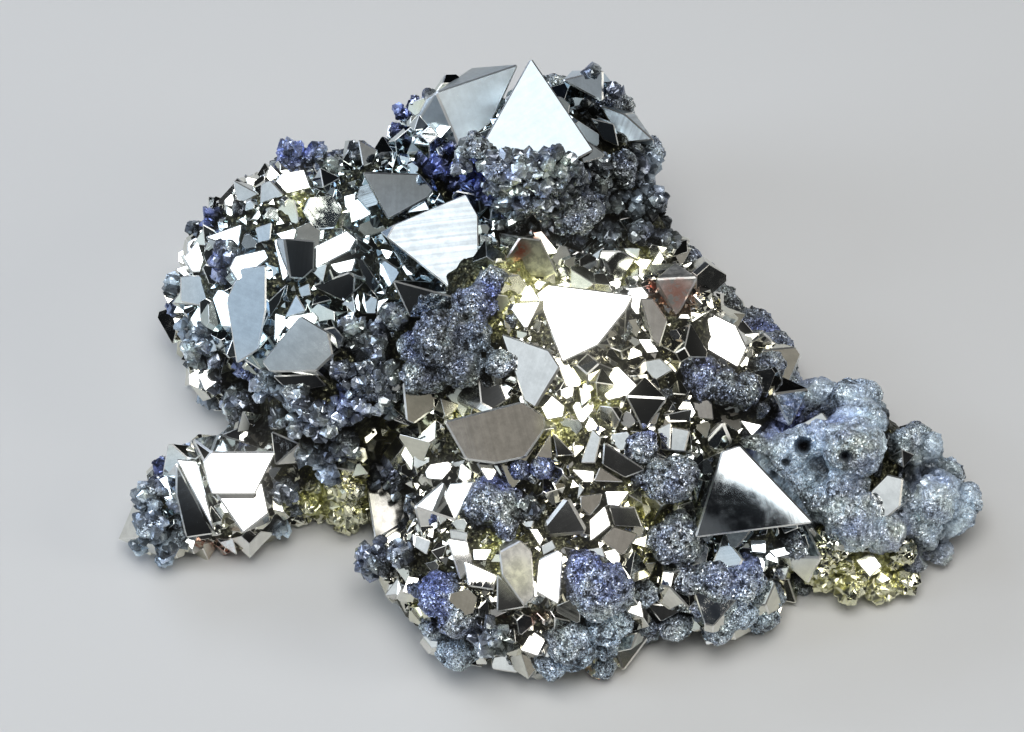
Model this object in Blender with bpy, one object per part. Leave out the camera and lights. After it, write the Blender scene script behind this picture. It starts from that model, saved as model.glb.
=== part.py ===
"""A hand specimen of pyrite: octahedral crystals and dark nodules grown together in one piece.

The specimen lies on a flat underside at z = 0, with +X to the right and +Y away from the viewer.
Its body is a heap of overlapping rounded boulders. Dark nodules bud from it, and flat-faced
crystals stand out of it. A crystal whose face shows clearly is given by the corners of that face
as they are seen in the photograph's frame, and by how far the face turns away from the eye.
The other crystals are scattered with a fixed seed over the whole body, back and sides included.
"""

import math
import random

import bmesh
import bpy
from mathutils import Matrix, Vector, noise

# Driving dimensions
MM = 0.001
SPECIMEN_WIDTH_MM = 60.0
SPECIMEN_WIDTH_PX = 858.0
PX_PER_MM = SPECIMEN_WIDTH_PX / SPECIMEN_WIDTH_MM

# The line of sight of the photograph
VIEW_ELEVATION = math.radians(58.0)
VIEW_DISTANCE_MM = 200.0
VIEW_TARGET_MM = Vector((-2.9, 0.6, 9.0))
PICTURE_CENTRE_PX = (512.0, 366.0)
VIEW_RIGHT = Vector((1.0, 0.0, 0.0))
VIEW_UP = Vector((0.0, math.sin(VIEW_ELEVATION), math.cos(VIEW_ELEVATION)))
TOWARDS_EYE = Vector((0.0, -math.cos(VIEW_ELEVATION), math.sin(VIEW_ELEVATION)))
EYE = VIEW_TARGET_MM + TOWARDS_EYE * VIEW_DISTANCE_MM

# The body: each boulder has the pixel where its centre is seen, its height and its three radii
BOULDERS = {
    "left_bulge": ((292, 288), 7.0, (7.4, 8.0, 9.3)),
    "left_bulge_side": ((240, 310), 4.5, (4.3, 6.6, 6.6)),
    "left_bulge_back": ((304, 242), 5.6, (4.8, 4.0, 6.4)),
    "left_knobs": ((330, 400), 6.0, (5.2, 5.0, 7.4)),
    "left_foot": ((225, 495), 3.0, (4.2, 3.3, 4.1)),
    "left_foot_tip": ((165, 510), 2.4, (2.0, 2.8, 2.8)),
    "foot_bridge": ((290, 462), 3.0, (3.8, 3.4, 5.0)),
    "notch": ((348, 480), 2.8, (3.6, 2.8, 4.4)),
    "top_block": ((545, 190), 11.5, (6.7, 5.2, 8.0)),
    "top_block_left": ((456, 168), 9.5, (4.2, 3.8, 7.2)),
    "top_block_right": ((606, 192), 11.0, (2.7, 4.2, 6.6)),
    "right_neck": ((642, 262), 7.5, (2.8, 3.0, 5.5)),
    "left_saddle": ((400, 238), 7.0, (6.2, 5.2, 8.0)),
    "centre": ((500, 352), 8.0, (9.3, 9.0, 9.2)),
    "centre_low": ((560, 450), 6.0, (11.0, 8.6, 7.9)),
    "right_slope": ((663, 354), 7.0, (4.7, 4.8, 7.2)),
    "right_slope_low": ((724, 414), 4.5, (4.6, 4.7, 6.2)),
    "right_middle": ((720, 518), 3.5, (6.4, 5.4, 5.8)),
    "right_lobe": ((846, 480), 3.2, (5.9, 5.3, 5.5)),
    "right_lobe_tip": ((912, 502), 2.5, (3.0, 3.4, 3.7)),
    "right_lobe_low": ((845, 548), 2.2, (4.8, 2.6, 3.5)),
    "bottom_lobe": ((516, 574), 4.0, (8.9, 5.7, 6.5)),
    "bottom_lobe_low": ((540, 615), 2.5, (5.8, 3.6, 4.3)),
    "lower_right": ((700, 588), 2.5, (4.7, 3.0, 3.6)),
    "base_centre": ((525, 390), 2.0, (17.0, 12.5, 4.5)),
    "base_left": ((316, 342), 2.0, (8.0, 8.8, 4.5)),
    "base_right": ((737, 485), 2.0, (11.0, 7.0, 4.0)),
    "base_back": ((553, 250), 4.5, (7.5, 5.6, 5.2)),
    "base_neck": ((620, 312), 5.5, (5.0, 5.0, 6.0)),
}

# The specimen's outline in the photograph, which no scattered growth may pass
OUTLINE_PX = [
    (122, 530), (152, 478), (190, 436), (232, 415), (196, 385), (165, 312), (160, 288), (192, 238),
    (236, 180), (262, 174), (292, 138), (338, 158), (356, 138), (392, 138), (398, 104), (462, 80),
    (531, 56), (548, 80), (590, 66), (622, 100), (652, 128), (666, 200), (672, 236), (712, 275),
    (782, 322), (800, 376), (848, 373), (895, 425), (925, 436), (950, 470), (982, 497), (942, 560),
    (922, 592), (870, 606), (800, 602), (738, 642), (668, 640), (605, 686), (530, 680), (455, 662),
    (408, 612), (366, 562), (370, 540), (310, 520), (280, 545), (236, 556), (165, 568),
]

# Hollows carved into the body: the pixel where each is seen and its radius in millimetres
HOLLOWS = {
    "under_collar": ((552, 262), 2.3),
    "under_collar_left": ((505, 240), 1.6),
    "under_shield": ((425, 296), 2.0),
    "under_curved_grey": ((292, 384), 1.4),
    "left_gully": ((402, 438), 2.4),
    "left_gully_low": ((372, 455), 1.6),
    "above_stepped": ((470, 395), 1.8),
    "notch": ((335, 512), 1.2),
    "foot_gap": ((300, 480), 1.3),
    "right_gully": ((640, 378), 1.6),
    "slope_gully": ((735, 395), 1.4),
    "bright_gully": ((655, 500), 1.5),
    "bright_gully_low": ((662, 560), 1.6),
    "low_gully": ((512, 600), 1.2),
    "beside_summit": ((606, 128), 1.4),
}

# Dark nodules: the pixel where each is seen and its radius in millimetres
NODULES = {
    "collar": [
        ((479, 153), 1.0), ((468, 168), 0.85), ((440, 170), 1.05), ((568, 142), 0.6),
        ((564, 163), 0.85), ((544, 147), 0.55), ((531, 158), 0.7), ((551, 176), 0.65),
        ((580, 178), 0.85), ((571, 196), 0.85), ((523, 177), 0.85), ((505, 160), 0.7),
        ((497, 183), 0.9), ((540, 198), 0.85), ((590, 158), 0.6), ((600, 186), 0.9),
        ((590, 212), 0.95), ((560, 222), 0.95), ((525, 205), 0.8), ((610, 232), 1.0),
        ((575, 240), 0.9), ((480, 190), 0.7), ((450, 150), 0.6),
    ],
    "top_right": [
        ((588, 106), 0.8), ((648, 166), 1.15), ((622, 164), 0.95), ((634, 203), 1.1),
        ((657, 200), 0.95), ((640, 232), 0.9), ((612, 205), 0.8), ((592, 72), 0.6),
        ((615, 90), 0.7), ((668, 240), 0.9), ((625, 180), 0.7),
    ],
    "top_left": [
        ((402, 112), 0.75), ((396, 130), 0.6), ((430, 98), 0.6), ((415, 103), 0.6),
        ((432, 168), 0.8), ((291, 152), 1.15), ((314, 152), 0.9), ((282, 163), 0.8),
        ((360, 152), 0.9), ((385, 160), 0.7), ((330, 165), 0.6),
    ],
    "left_bulge": [
        ((212, 218), 0.9), ((196, 228), 0.7), ((225, 255), 1.2), ((222, 276), 0.8),
        ((172, 285), 0.85), ((176, 310), 0.8), ((186, 330), 0.8), ((198, 352), 0.95),
        ((212, 378), 1.1), ((190, 365), 0.6), ((208, 330), 0.9), ((215, 402), 0.9),
        ((236, 210), 0.6), ((268, 330), 0.4), ((265, 346), 0.5), ((205, 400), 0.6),
    ],
    "left_knobs": [
        ((352, 333), 1.35), ((379, 330), 1.25), ((372, 352), 1.4), ((368, 388), 2.0),
        ((392, 405), 1.2), ((345, 410), 1.3), ((248, 369), 1.1), ((268, 385), 1.25),
        ((294, 397), 1.3), ((280, 372), 0.7), ((322, 420), 1.5), ((300, 425), 1.1),
        ((325, 455), 1.4), ((345, 445), 1.2), ((305, 452), 1.1), ((330, 475), 0.9),
        ((280, 418), 0.9), ((395, 372), 1.0), ((340, 368), 0.8),
    ],
    "centre": [
        ((442, 338), 2.0), ((425, 375), 1.5), ((462, 365), 1.4), ((481, 304), 1.15),
        ((464, 302), 0.95), ((494, 280), 0.8), ((499, 362), 1.0), ((512, 322), 0.7),
        ((478, 335), 1.2), ((412, 345), 1.1), ((616, 330), 0.9), ((494, 504), 1.9),
        ((493, 473), 0.7), ((545, 466), 0.75), ((520, 470), 0.6), ((505, 530), 1.0),
        ((645, 442), 1.2), ((640, 478), 0.6),
    ],
    "bottom": [
        ((600, 590), 2.1), ((608, 622), 1.7), ((585, 570), 1.2), ((577, 652), 1.35),
        ((549, 664), 1.2), ((603, 645), 0.9), ((438, 598), 1.4), ((459, 622), 1.4),
        ((458, 645), 1.4), ((432, 625), 0.9), ((603, 668), 0.8), ((415, 590), 0.8),
    ],
    "right_slope": [
        ((700, 378), 1.5), ((667, 396), 0.65), ((725, 385), 1.2), ((758, 340), 1.1),
        ((775, 335), 0.8), ((765, 365), 1.3), ((745, 390), 1.2), ((785, 385), 1.1),
        ((700, 300), 0.9), ((722, 303), 0.7), ((740, 318), 0.7), ((690, 265), 0.8),
        ((705, 280), 0.8), ((760, 410), 0.8), ((785, 352), 0.9),
    ],
    "right_lobe": [
        ((795, 450), 1.9), ((850, 447), 2.2), ((825, 440), 1.4), ((770, 435), 1.0),
        ((820, 395), 1.5), ((850, 400), 1.5), ((868, 420), 1.2), ((795, 400), 0.7),
        ((925, 450), 1.5), ((905, 440), 1.1), ((945, 470), 1.0), ((935, 500), 1.7),
        ((965, 500), 1.1), ((925, 530), 1.2), ((940, 552), 0.8), ((850, 520), 2.0),
        ((820, 500), 1.1), ((885, 535), 1.3), ((840, 490), 1.0), ((910, 560), 1.0),
    ],
    "lower_right": [
        ((715, 580), 1.4), ((745, 580), 1.6), ((740, 610), 1.2), ((717, 624), 1.0),
        ((678, 624), 1.1), ((762, 618), 1.2), ((795, 545), 1.0), ((820, 565), 1.1),
        ((850, 585), 1.3), ((880, 585), 1.3), ((905, 580), 1.1), ((800, 580), 0.9),
        ((770, 595), 0.8), ((700, 610), 0.8), ((835, 545), 1.1),
    ],
    "left_foot": [
        ((165, 470), 1.1), ((150, 495), 1.3), ((150, 525), 1.4), ((170, 545), 1.2),
        ((165, 558), 0.8), ((140, 540), 1.0), ((185, 525), 0.9), ((285, 490), 1.1),
        ((290, 508), 0.9), ((278, 525), 1.0), ((180, 500), 1.0),
    ],
}

# How a face turns away from the eye, in degrees to the right and upwards.
# The four usual turns make a face catch the bright, light, dim or dark part of the room.
BRIGHT = (0.0, 11.0)
LIGHT = (-14.0, 4.0)
DIM = (13.0, 3.0)
DARK = (3.0, -13.0)

# Clear crystals: the turn of the seen face, its corners in pixels, and what differs from the usual
CRYSTALS = {
    "summit": (BRIGHT, [(531, 57), (594, 150), (560, 168), (500, 166), (481, 146)], {"lift": 3.4}),
    "summit_toe": (DIM, [(577, 144), (586, 140), (605, 153), (604, 157), (583, 163)], {}),
    "back_left": (
        DIM, [(436, 92), (463, 83), (519, 64), (491, 124), (460, 147)],
        {"lift": 1.2, "shoulder": [((426, 98), 0.7), ((454, 160), 0.9), ((399, 154), 2.8)]},
    ),
    "upper_right": (DIM, [(562, 80), (603, 70), (603, 102)], {"shoulder": [((613, 82), 0.9)]}),
    "right_slab": (LIGHT, [(598, 104), (625, 114), (654, 140), (622, 143)], {}),
    "shield": (
        BRIGHT, [(387, 238), (395, 224), (466, 193), (478, 214), (479, 293), (458, 294)],
        {"lift": 2.4, "shoulder": [((380, 232), 0.5)]},
    ),
    "shield_cap": (BRIGHT, [(402, 214), (412, 197), (424, 198), (430, 210)], {}),
    "brown_grey": (DIM, [(362, 172), (420, 174), (434, 190), (428, 198), (388, 220)], {}),
    "great_white": (
        BRIGHT, [(536, 293), (548, 284), (634, 295), (626, 310), (598, 345), (562, 362)], {},
    ),
    "white_neighbour": (DIM, [(640, 298), (653, 298), (668, 320), (660, 346), (652, 340)], {}),
    "pale_chip": (BRIGHT, [(638, 339), (651, 339), (659, 352), (647, 353)], {}),
    "brown_dark": (DARK, [(600, 251), (622, 251), (636, 259), (620, 284), (597, 272)], {}),
    "brown_tip": (LIGHT, [(622, 248), (640, 248), (637, 260)], {}),
    "light_wedge": (LIGHT, [(500, 333), (549, 350), (560, 367), (535, 408), (524, 401)], {}),
    "stepped": (
        DIM, [(444, 421), (522, 401), (545, 415), (546, 428), (525, 458), (496, 464), (466, 460)],
        {},
    ),
    "small_white": (BRIGHT, [(548, 392), (565, 406), (563, 417), (547, 420), (540, 406)], {}),
    "great_triangle": ((2.0, 6.0), [(722, 451), (740, 445), (814, 523), (695, 537)], {"lift": 2.4}),
    "behind_triangle": (DARK, [(694, 447), (722, 419), (733, 444), (720, 454)], {}),
    "right_white": (BRIGHT, [(685, 337), (710, 312), (736, 325), (747, 348), (738, 368)], {}),
    "rusty": (DARK, [(655, 279), (698, 277), (676, 318)], {}),
    "lobe_white": (BRIGHT, [(853, 435), (881, 437), (866, 457)], {}),
    "lobe_pale": (LIGHT, [(866, 495), (887, 474), (903, 478), (900, 507), (883, 521)], {}),
    "lobe_low_white": (BRIGHT, [(855, 560), (872, 552), (882, 566), (870, 577)], {}),
    "lobe_sliver": (LIGHT, [(793, 428), (822, 412), (830, 422), (812, 432)], {}),
    "curved_grey": (
        LIGHT, [(261, 362), (300, 315), (328, 332), (333, 355), (316, 371), (269, 372)],
        {"shoulder": [((331, 384), 2.4)]},
    ),
    "slab": (LIGHT, [(226, 300), (240, 268), (266, 265), (266, 310), (258, 350), (236, 364)], {}),
    "slab_cap": (BRIGHT, [(229, 268), (235, 256), (265, 249), (269, 258), (238, 282)], {}),
    "dark_square": (
        DARK, [(284, 238), (315, 241), (314, 269), (303, 279), (290, 278)],
        {"shoulder": [((275, 239), 0.6), ((287, 280), 0.6)]},
    ),
    "white_wing": (BRIGHT, [(347, 230), (357, 239), (350, 251), (315, 269), (315, 246)], {}),
    "dark_oval": (DARK, [(311, 286), (350, 272), (355, 277), (354, 292), (344, 302)], {}),
    "pale_blue": (LIGHT, [(364, 257), (381, 257), (410, 276), (391, 296)], {}),
    "top_white": (BRIGHT, [(275, 182), (282, 173), (304, 169), (311, 188), (287, 194)], {}),
    "top_grey": (LIGHT, [(261, 184), (270, 180), (284, 195), (260, 204)], {}),
    "top_point": (LIGHT, [(233, 180), (259, 194), (238, 205)], {}),
    "far_left_white": (BRIGHT, [(205, 237), (242, 224), (238, 249), (225, 241)], {}),
    "left_edge_white": (BRIGHT, [(184, 258), (198, 240), (208, 272), (192, 272)], {}),
    "left_edge_grey": (LIGHT, [(180, 276), (200, 275), (214, 290), (200, 306), (180, 302)], {}),
    "left_small_a": (LIGHT, [(284, 318), (296, 294), (306, 311)], {}),
    "left_small_b": (BRIGHT, [(274, 342), (275, 313), (292, 318)], {}),
    "left_small_c": (BRIGHT, [(353, 306), (358, 290), (360, 312)], {}),
    "left_small_d": (LIGHT, [(362, 291), (378, 299), (376, 314), (360, 314)], {}),
    "foot_white": (
        BRIGHT, [(204, 461), (211, 452), (276, 452), (259, 470), (255, 494), (212, 494)],
        {"shoulder": [((192, 438), 1.6), ((218, 434), 1.5)]},
    ),
    "foot_white_low": (BRIGHT, [(214, 491), (262, 480), (269, 513), (243, 533), (236, 503)], {}),
    "foot_slab": (DARK, [(176, 462), (214, 534), (186, 538), (176, 495)], {}),
    "foot_band": (BRIGHT, [(176, 459), (197, 461), (207, 500), (215, 532)], {}),
    "foot_tip": (LIGHT, [(214, 536), (233, 537), (237, 555), (222, 545)], {}),
    "hollow_curved": (
        (4.0, 7.0), [(366, 482), (400, 475), (424, 500), (405, 522), (375, 540)], {"lift": 1.2},
    ),
    "hexagon": (BRIGHT, [(425, 471), (430, 464), (448, 461), (455, 466), (442, 480), (427, 478)], {}),
    "light_spike": (LIGHT, [(580, 463), (592, 428), (601, 437), (595, 463)], {}),
    "black_wedge": (DARK, [(604, 442), (646, 470), (625, 478), (602, 465)], {}),
    "window": (DARK, [(568, 495), (589, 533), (577, 529), (547, 537), (544, 525)], {}),
    "window_white": (BRIGHT, [(589, 520), (605, 505), (611, 525), (590, 542)], {}),
    "window_black": (DARK, [(609, 507), (635, 507), (643, 528), (614, 526)], {}),
    "window_grey": (DIM, [(614, 526), (639, 534), (623, 556), (600, 540)], {}),
    "window_top": (BRIGHT, [(605, 491), (630, 491), (619, 506), (608, 505)], {}),
    "tall_white": (BRIGHT, [(538, 560), (558, 550), (563, 553), (559, 605), (535, 591)], {}),
    "olive_tall": (
        (10.0, -4.0), [(499, 552), (521, 540), (532, 550), (535, 596), (525, 607), (502, 575)], {},
    ),
    "small_quad": (LIGHT, [(541, 546), (552, 540), (556, 548), (543, 555)], {}),
    "low_black": (DARK, [(497, 574), (526, 607), (497, 612)], {}),
    "low_curved": ((6.0, 2.0), [(447, 538), (468, 541), (474, 566), (460, 580)], {}),
    "low_striped": ((3.0, 5.0), [(464, 560), (498, 575), (494, 590), (468, 586)], {}),
    "low_left_white": (BRIGHT, [(402, 592), (408, 576), (420, 578), (412, 594)], {}),
    "low_left_pale": (LIGHT, [(384, 596), (398, 577), (400, 594)], {}),
    "bottom_grey": (LIGHT, [(490, 655), (506, 652), (518, 673), (492, 669)], {}),
    "bottom_point": (BRIGHT, [(520, 650), (532, 630), (546, 640), (538, 656)], {}),
    "slope_grey_a": (LIGHT, [(638, 362), (660, 358), (673, 370), (655, 381)], {}),
    "slope_grey_b": (DIM, [(690, 403), (712, 398), (714, 420), (695, 418)], {}),
    "slope_pale": (BRIGHT, [(740, 420), (762, 425), (752, 436)], {}),
    "near_triangle_a": (BRIGHT, [(673, 488), (690, 483), (692, 496), (678, 500)], {}),
    "near_triangle_b": (LIGHT, [(660, 424), (690, 430), (685, 452), (660, 450)], {}),
    "low_right_white": (BRIGHT, [(750, 540), (766, 540), (766, 553), (752, 552)], {}),
    "low_right_pale": (LIGHT, [(769, 565), (790, 565), (785, 580), (770, 579)], {}),
    "amber": (DARK, [(505, 260), (520, 237), (541, 240), (560, 278), (510, 276)], {"lift": -0.6}),
}

# What the usual crystal and nodule are like
CRYSTAL_DEPTH_PER_SIZE = 1.15
CRYSTAL_LIFT_PER_SIZE = 0.45
CRYSTAL_ROOT_SHARE = 0.85
NODULE_PROUD = 0.5
HOLLOW_DEPTH_PER_RADIUS = 1.0
HOLLOW_REACH_PER_RADIUS = 2.0

# Scattered small growth on the rest of the body
SCATTER_SEED = 11
SCATTER_TRIES = 5000
SCATTER_SPACING_MM = 2.65
SCATTER_LOWEST_MM = 1.0
SCATTER_REACHES_MM = (2.2, 1.6, 1.1, 0.8)
SMALL_CRYSTAL_MM = (0.9, 2.3)
SMALL_NODULE_MM = (1.0, 1.9)
SMALL_PROUD = 0.25
PATCH_SIZE_MM = 7.0
CLEAR_MARGIN_PX = 12.0
HIDDEN_BEHIND_MM = 0.5
BURIED_SHARE = 0.99

# The rock and the nodules are merged at this grain, then faceted to this share of their triangles
BODY_GRAIN_MM = 0.34
BODY_TRIANGLES = 4500
BOULDER_DETAIL = 4
NODULE_DETAIL = 3
ROUGHNESS_MM = ((2.4, 0.34), (0.9, 0.13))
FLOOR_CUT_MM = Vector((90.0, 90.0, 20.0))

# The one material of the solid: pale brassy metal
METAL_COLOUR = (0.80, 0.76, 0.64)
METAL_ROUGHNESS = 0.15


def clear_scene():
    """Remove every object that the file opened with."""
    for thing in list(bpy.data.objects):
        bpy.data.objects.remove(thing, do_unlink=True)


def sight_line(pixel):
    """The direction from the eye through a pixel of the photograph."""
    across = (pixel[0] - PICTURE_CENTRE_PX[0]) / PX_PER_MM
    up = (PICTURE_CENTRE_PX[1] - pixel[1]) / PX_PER_MM
    seen = VIEW_TARGET_MM + VIEW_RIGHT * across + VIEW_UP * up
    return (seen - EYE).normalized()


def pixel_of(point):
    """The pixel of the photograph at which a point is seen."""
    offset = point - EYE
    scale = VIEW_DISTANCE_MM / offset.dot(-TOWARDS_EYE) * PX_PER_MM
    across = offset.dot(VIEW_RIGHT) * scale
    up = offset.dot(VIEW_UP) * scale
    return (PICTURE_CENTRE_PX[0] + across, PICTURE_CENTRE_PX[1] - up)


def place_boulders():
    """Each boulder's centre and radii in millimetres, from its pixel and its height."""
    placed = []
    for pixel, height, radii in BOULDERS.values():
        view = sight_line(pixel)
        reach = (height - EYE.z) / view.z
        placed.append((EYE + view * reach, Vector(radii)))
    return placed


def squeezed(vector, radii):
    """A vector in the space where a boulder is a ball of radius 1."""
    return Vector((vector.x / radii.x, vector.y / radii.y, vector.z / radii.z))


def surface_point(view, boulders):
    """Where a sight line first meets the boulders, or where it passes them closest."""
    nearest_hit = None
    closest_pass = None
    smallest_gap = None
    for centre, radii in boulders:
        start = squeezed(EYE - centre, radii)
        step = squeezed(view, radii)
        along = start.dot(step) / step.length_squared
        gap = start.length_squared - 1.0 - along * along * step.length_squared
        if gap < 0.0:
            reach = -along - math.sqrt(-gap / step.length_squared)
            if nearest_hit is None or reach < nearest_hit:
                nearest_hit = reach
        elif smallest_gap is None or gap < smallest_gap:
            smallest_gap = gap
            closest_pass = -along
    reach = closest_pass if nearest_hit is None else nearest_hit
    return EYE + view * reach


def turned(towards, turn):
    """The direction towards the eye, turned to the right and upwards by some degrees."""
    right = math.tan(math.radians(turn[0]))
    up = math.tan(math.radians(turn[1]))
    return (towards + VIEW_RIGHT * right + VIEW_UP * up).normalized()


def on_plane(pixel, point, normal):
    """Where the sight line through a pixel crosses a plane."""
    view = sight_line(pixel)
    reach = (point - EYE).dot(normal) / view.dot(normal)
    return EYE + view * reach


def mean_of(points):
    """The middle of some points."""
    total = Vector((0.0, 0.0, 0.0))
    for point in points:
        total += point
    return total / len(points)


def polygon_area(corners):
    """The area of a flat polygon with its corners in order."""
    total = Vector((0.0, 0.0, 0.0))
    for here, following in zip(corners, corners[1:] + corners[:1]):
        total += here.cross(following)
    return total.length / 2.0


def hull_object(name, points):
    """A closed solid wrapped round some points."""
    shell = bmesh.new()
    for point in points:
        shell.verts.new(point)
    wrapped = bmesh.ops.convex_hull(shell, input=shell.verts)
    spare = [item for item in wrapped["geom_interior"] if isinstance(item, bmesh.types.BMVert)]
    bmesh.ops.delete(shell, geom=spare, context="VERTS")
    bmesh.ops.recalc_face_normals(shell, faces=shell.faces)
    return object_from(name, shell)


def object_from(name, shell):
    """Turn a bmesh into an object of the scene."""
    mesh = bpy.data.meshes.new(name)
    shell.to_mesh(mesh)
    shell.free()
    thing = bpy.data.objects.new(name, mesh)
    bpy.context.collection.objects.link(thing)
    return thing


def clear_crystal(name, boulders):
    """A crystal whose one face is seen with given corners, its body mirrored through its middle."""
    turn, corner_pixels, special = CRYSTALS[name]
    middle = (
        sum(pixel[0] for pixel in corner_pixels) / len(corner_pixels),
        sum(pixel[1] for pixel in corner_pixels) / len(corner_pixels),
    )
    view = sight_line(middle)
    on_body = surface_point(view, boulders)
    normal = turned(-view, turn)
    size = math.sqrt(polygon_area([on_plane(pixel, on_body, normal) for pixel in corner_pixels]))
    anchor = on_body - view * special.get("lift", CRYSTAL_LIFT_PER_SIZE * size)
    face = [on_plane(pixel, anchor, normal) for pixel in corner_pixels]
    shoulder = []
    for pixel, drop in special.get("shoulder", ()):
        shoulder.append(on_plane(pixel, anchor, normal) + sight_line(pixel) * drop)
    heart = mean_of(face) - normal * (CRYSTAL_DEPTH_PER_SIZE * size / 2.0)
    mirrored = [heart - (corner - heart) * CRYSTAL_ROOT_SHARE for corner in face]
    return hull_object(name, face + shoulder + mirrored)


def random_direction(rng):
    """A direction picked evenly over the sphere."""
    height = rng.uniform(-1.0, 1.0)
    turn = rng.uniform(0.0, 2.0 * math.pi)
    flat = math.sqrt(1.0 - height * height)
    return Vector((flat * math.cos(turn), flat * math.sin(turn), height))


def small_crystal(name, middle, size, rng):
    """A small octahedron, turned at random."""
    turn = Matrix.Rotation(rng.uniform(0.0, 2.0 * math.pi), 3, random_direction(rng))
    points = []
    for axis in (Vector((1.0, 0.0, 0.0)), Vector((0.0, 1.0, 0.0)), Vector((0.0, 0.0, 1.0))):
        reach = turn @ axis * size
        points += [middle + reach, middle - reach]
    return hull_object(name, points)


def add_ball(shell, middle, radii, detail):
    """Add a ball or an egg to a bmesh."""
    scale = Matrix.Diagonal((radii[0], radii[1], radii[2], 1.0))
    place = Matrix.Translation(middle) @ scale
    bmesh.ops.create_icosphere(shell, subdivisions=detail, radius=1.0, matrix=place)


def nodule_places(boulders):
    """The middle and radius of each dark nodule that the photograph shows."""
    places = []
    for group in NODULES.values():
        for pixel, radius in group:
            view = sight_line(pixel)
            places.append((surface_point(view, boulders) - view * radius * NODULE_PROUD, radius))
    return places


def is_clear(point, boulders):
    """Whether a point is out of sight, or seen away from all that is placed by pixels."""
    seen = surface_point((point - EYE).normalized(), boulders)
    if (seen - point).length > HIDDEN_BEHIND_MM:
        return True
    across, down = pixel_of(point)
    for crystal in CRYSTALS.values():
        corners = crystal[1]
        left = min(corner[0] for corner in corners) - CLEAR_MARGIN_PX
        right = max(corner[0] for corner in corners) + CLEAR_MARGIN_PX
        top = min(corner[1] for corner in corners) - CLEAR_MARGIN_PX
        bottom = max(corner[1] for corner in corners) + CLEAR_MARGIN_PX
        if left < across < right and top < down < bottom:
            return False
    balls = list(HOLLOWS.values())
    for group in NODULES.values():
        balls += group
    for pixel, radius in balls:
        if math.hypot(pixel[0] - across, pixel[1] - down) < radius * PX_PER_MM:
            return False
    return True


def is_inside_outline(point):
    """Whether a point is seen within the specimen's outline."""
    across, down = pixel_of(point)
    crossings = 0
    for (x0, y0), (x1, y1) in zip(OUTLINE_PX, OUTLINE_PX[1:] + OUTLINE_PX[:1]):
        if (y0 > down) != (y1 > down):
            edge = x0 + (down - y0) * (x1 - x0) / (y1 - y0)
            crossings += across < edge
    return crossings % 2 == 1


def room_within_outline(point, outward):
    """How far growth can stand out from a point before it shows beyond the specimen's outline."""
    for reach in SCATTER_REACHES_MM:
        if is_inside_outline(point + outward * reach):
            return reach
    return 0.0


def scattered_places(boulders):
    """Points spread over the bare outside of the body, each with its outward direction and its room."""
    rng = random.Random(SCATTER_SEED)
    weights = [size.x * size.y + size.y * size.z + size.z * size.x for middle, size in boulders]
    places = []
    for attempt in range(SCATTER_TRIES):
        centre, radii = rng.choices(boulders, weights)[0]
        out = random_direction(rng)
        point = centre + Vector((out.x * radii.x, out.y * radii.y, out.z * radii.z))
        if point.z < SCATTER_LOWEST_MM:
            continue
        if any(squeezed(point - middle, size).length < BURIED_SHARE for middle, size in boulders):
            continue
        if any((point - place[0]).length < SCATTER_SPACING_MM for place in places):
            continue
        outward = squeezed(out, radii).normalized()
        room = room_within_outline(point, outward)
        if room > 0.0 and is_clear(point, boulders):
            places.append((point, outward, room))
    return places


def carve_hollows(mesh, boulders):
    """Press a rounded dent into the rock at each hollow, away from the eye."""
    for pixel, radius in HOLLOWS.values():
        view = sight_line(pixel)
        middle = surface_point(view, boulders)
        for vertex in mesh.vertices:
            offset = vertex.co - middle
            along = offset.dot(view)
            aside = (offset - view * along).length
            if aside < radius and abs(along) < HOLLOW_REACH_PER_RADIUS * radius:
                depth = HOLLOW_DEPTH_PER_RADIUS * radius * (1.0 - (aside / radius) ** 2)
                vertex.co += view * depth


def rock_body(boulders, nodules):
    """The rock with its nodules, merged into one rough skin and faceted."""
    shell = bmesh.new()
    for centre, radii in boulders:
        add_ball(shell, centre, radii, BOULDER_DETAIL)
    for middle, radius in nodules:
        add_ball(shell, middle, (radius, radius, radius), NODULE_DETAIL)
    rock = object_from("rock", shell)
    merge = rock.modifiers.new("merge", "REMESH")
    merge.mode = "VOXEL"
    merge.voxel_size = BODY_GRAIN_MM
    settle(rock)
    carve_hollows(rock.data, boulders)
    roughen(rock.data)
    thin = rock.modifiers.new("facet", "DECIMATE")
    thin.use_collapse_triangulate = True
    thin.ratio = BODY_TRIANGLES / (2.0 * len(rock.data.polygons))
    settle(rock)
    keep_largest_shell(rock.data)
    return rock


def keep_largest_shell(mesh):
    """Drop closed pockets and loose crumbs, so that one connected skin is left."""
    skin = bmesh.new()
    skin.from_mesh(mesh)
    unvisited = set(skin.verts)
    shells = []
    while unvisited:
        shell = [unvisited.pop()]
        for vertex in shell:
            for edge in vertex.link_edges:
                neighbour = edge.other_vert(vertex)
                if neighbour in unvisited:
                    unvisited.remove(neighbour)
                    shell.append(neighbour)
        shells.append(shell)
    shells.sort(key=len)
    for shell in shells[:-1]:
        bmesh.ops.delete(skin, geom=shell, context="VERTS")
    skin.to_mesh(mesh)
    skin.free()


def settle(thing):
    """Replace an object's mesh with what its modifiers make of it."""
    graph = bpy.context.evaluated_depsgraph_get()
    made = bpy.data.meshes.new_from_object(thing.evaluated_get(graph))
    thing.modifiers.clear()
    thing.data = made


def roughen(mesh):
    """Move the skin in and out by a few sizes of noise."""
    moves = []
    for vertex in mesh.vertices:
        move = 0.0
        for size, amount in ROUGHNESS_MM:
            move += noise.noise(vertex.co / size) * amount
        moves.append(vertex.normal * move)
    for vertex, move in zip(mesh.vertices, moves):
        vertex.co += move


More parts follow.
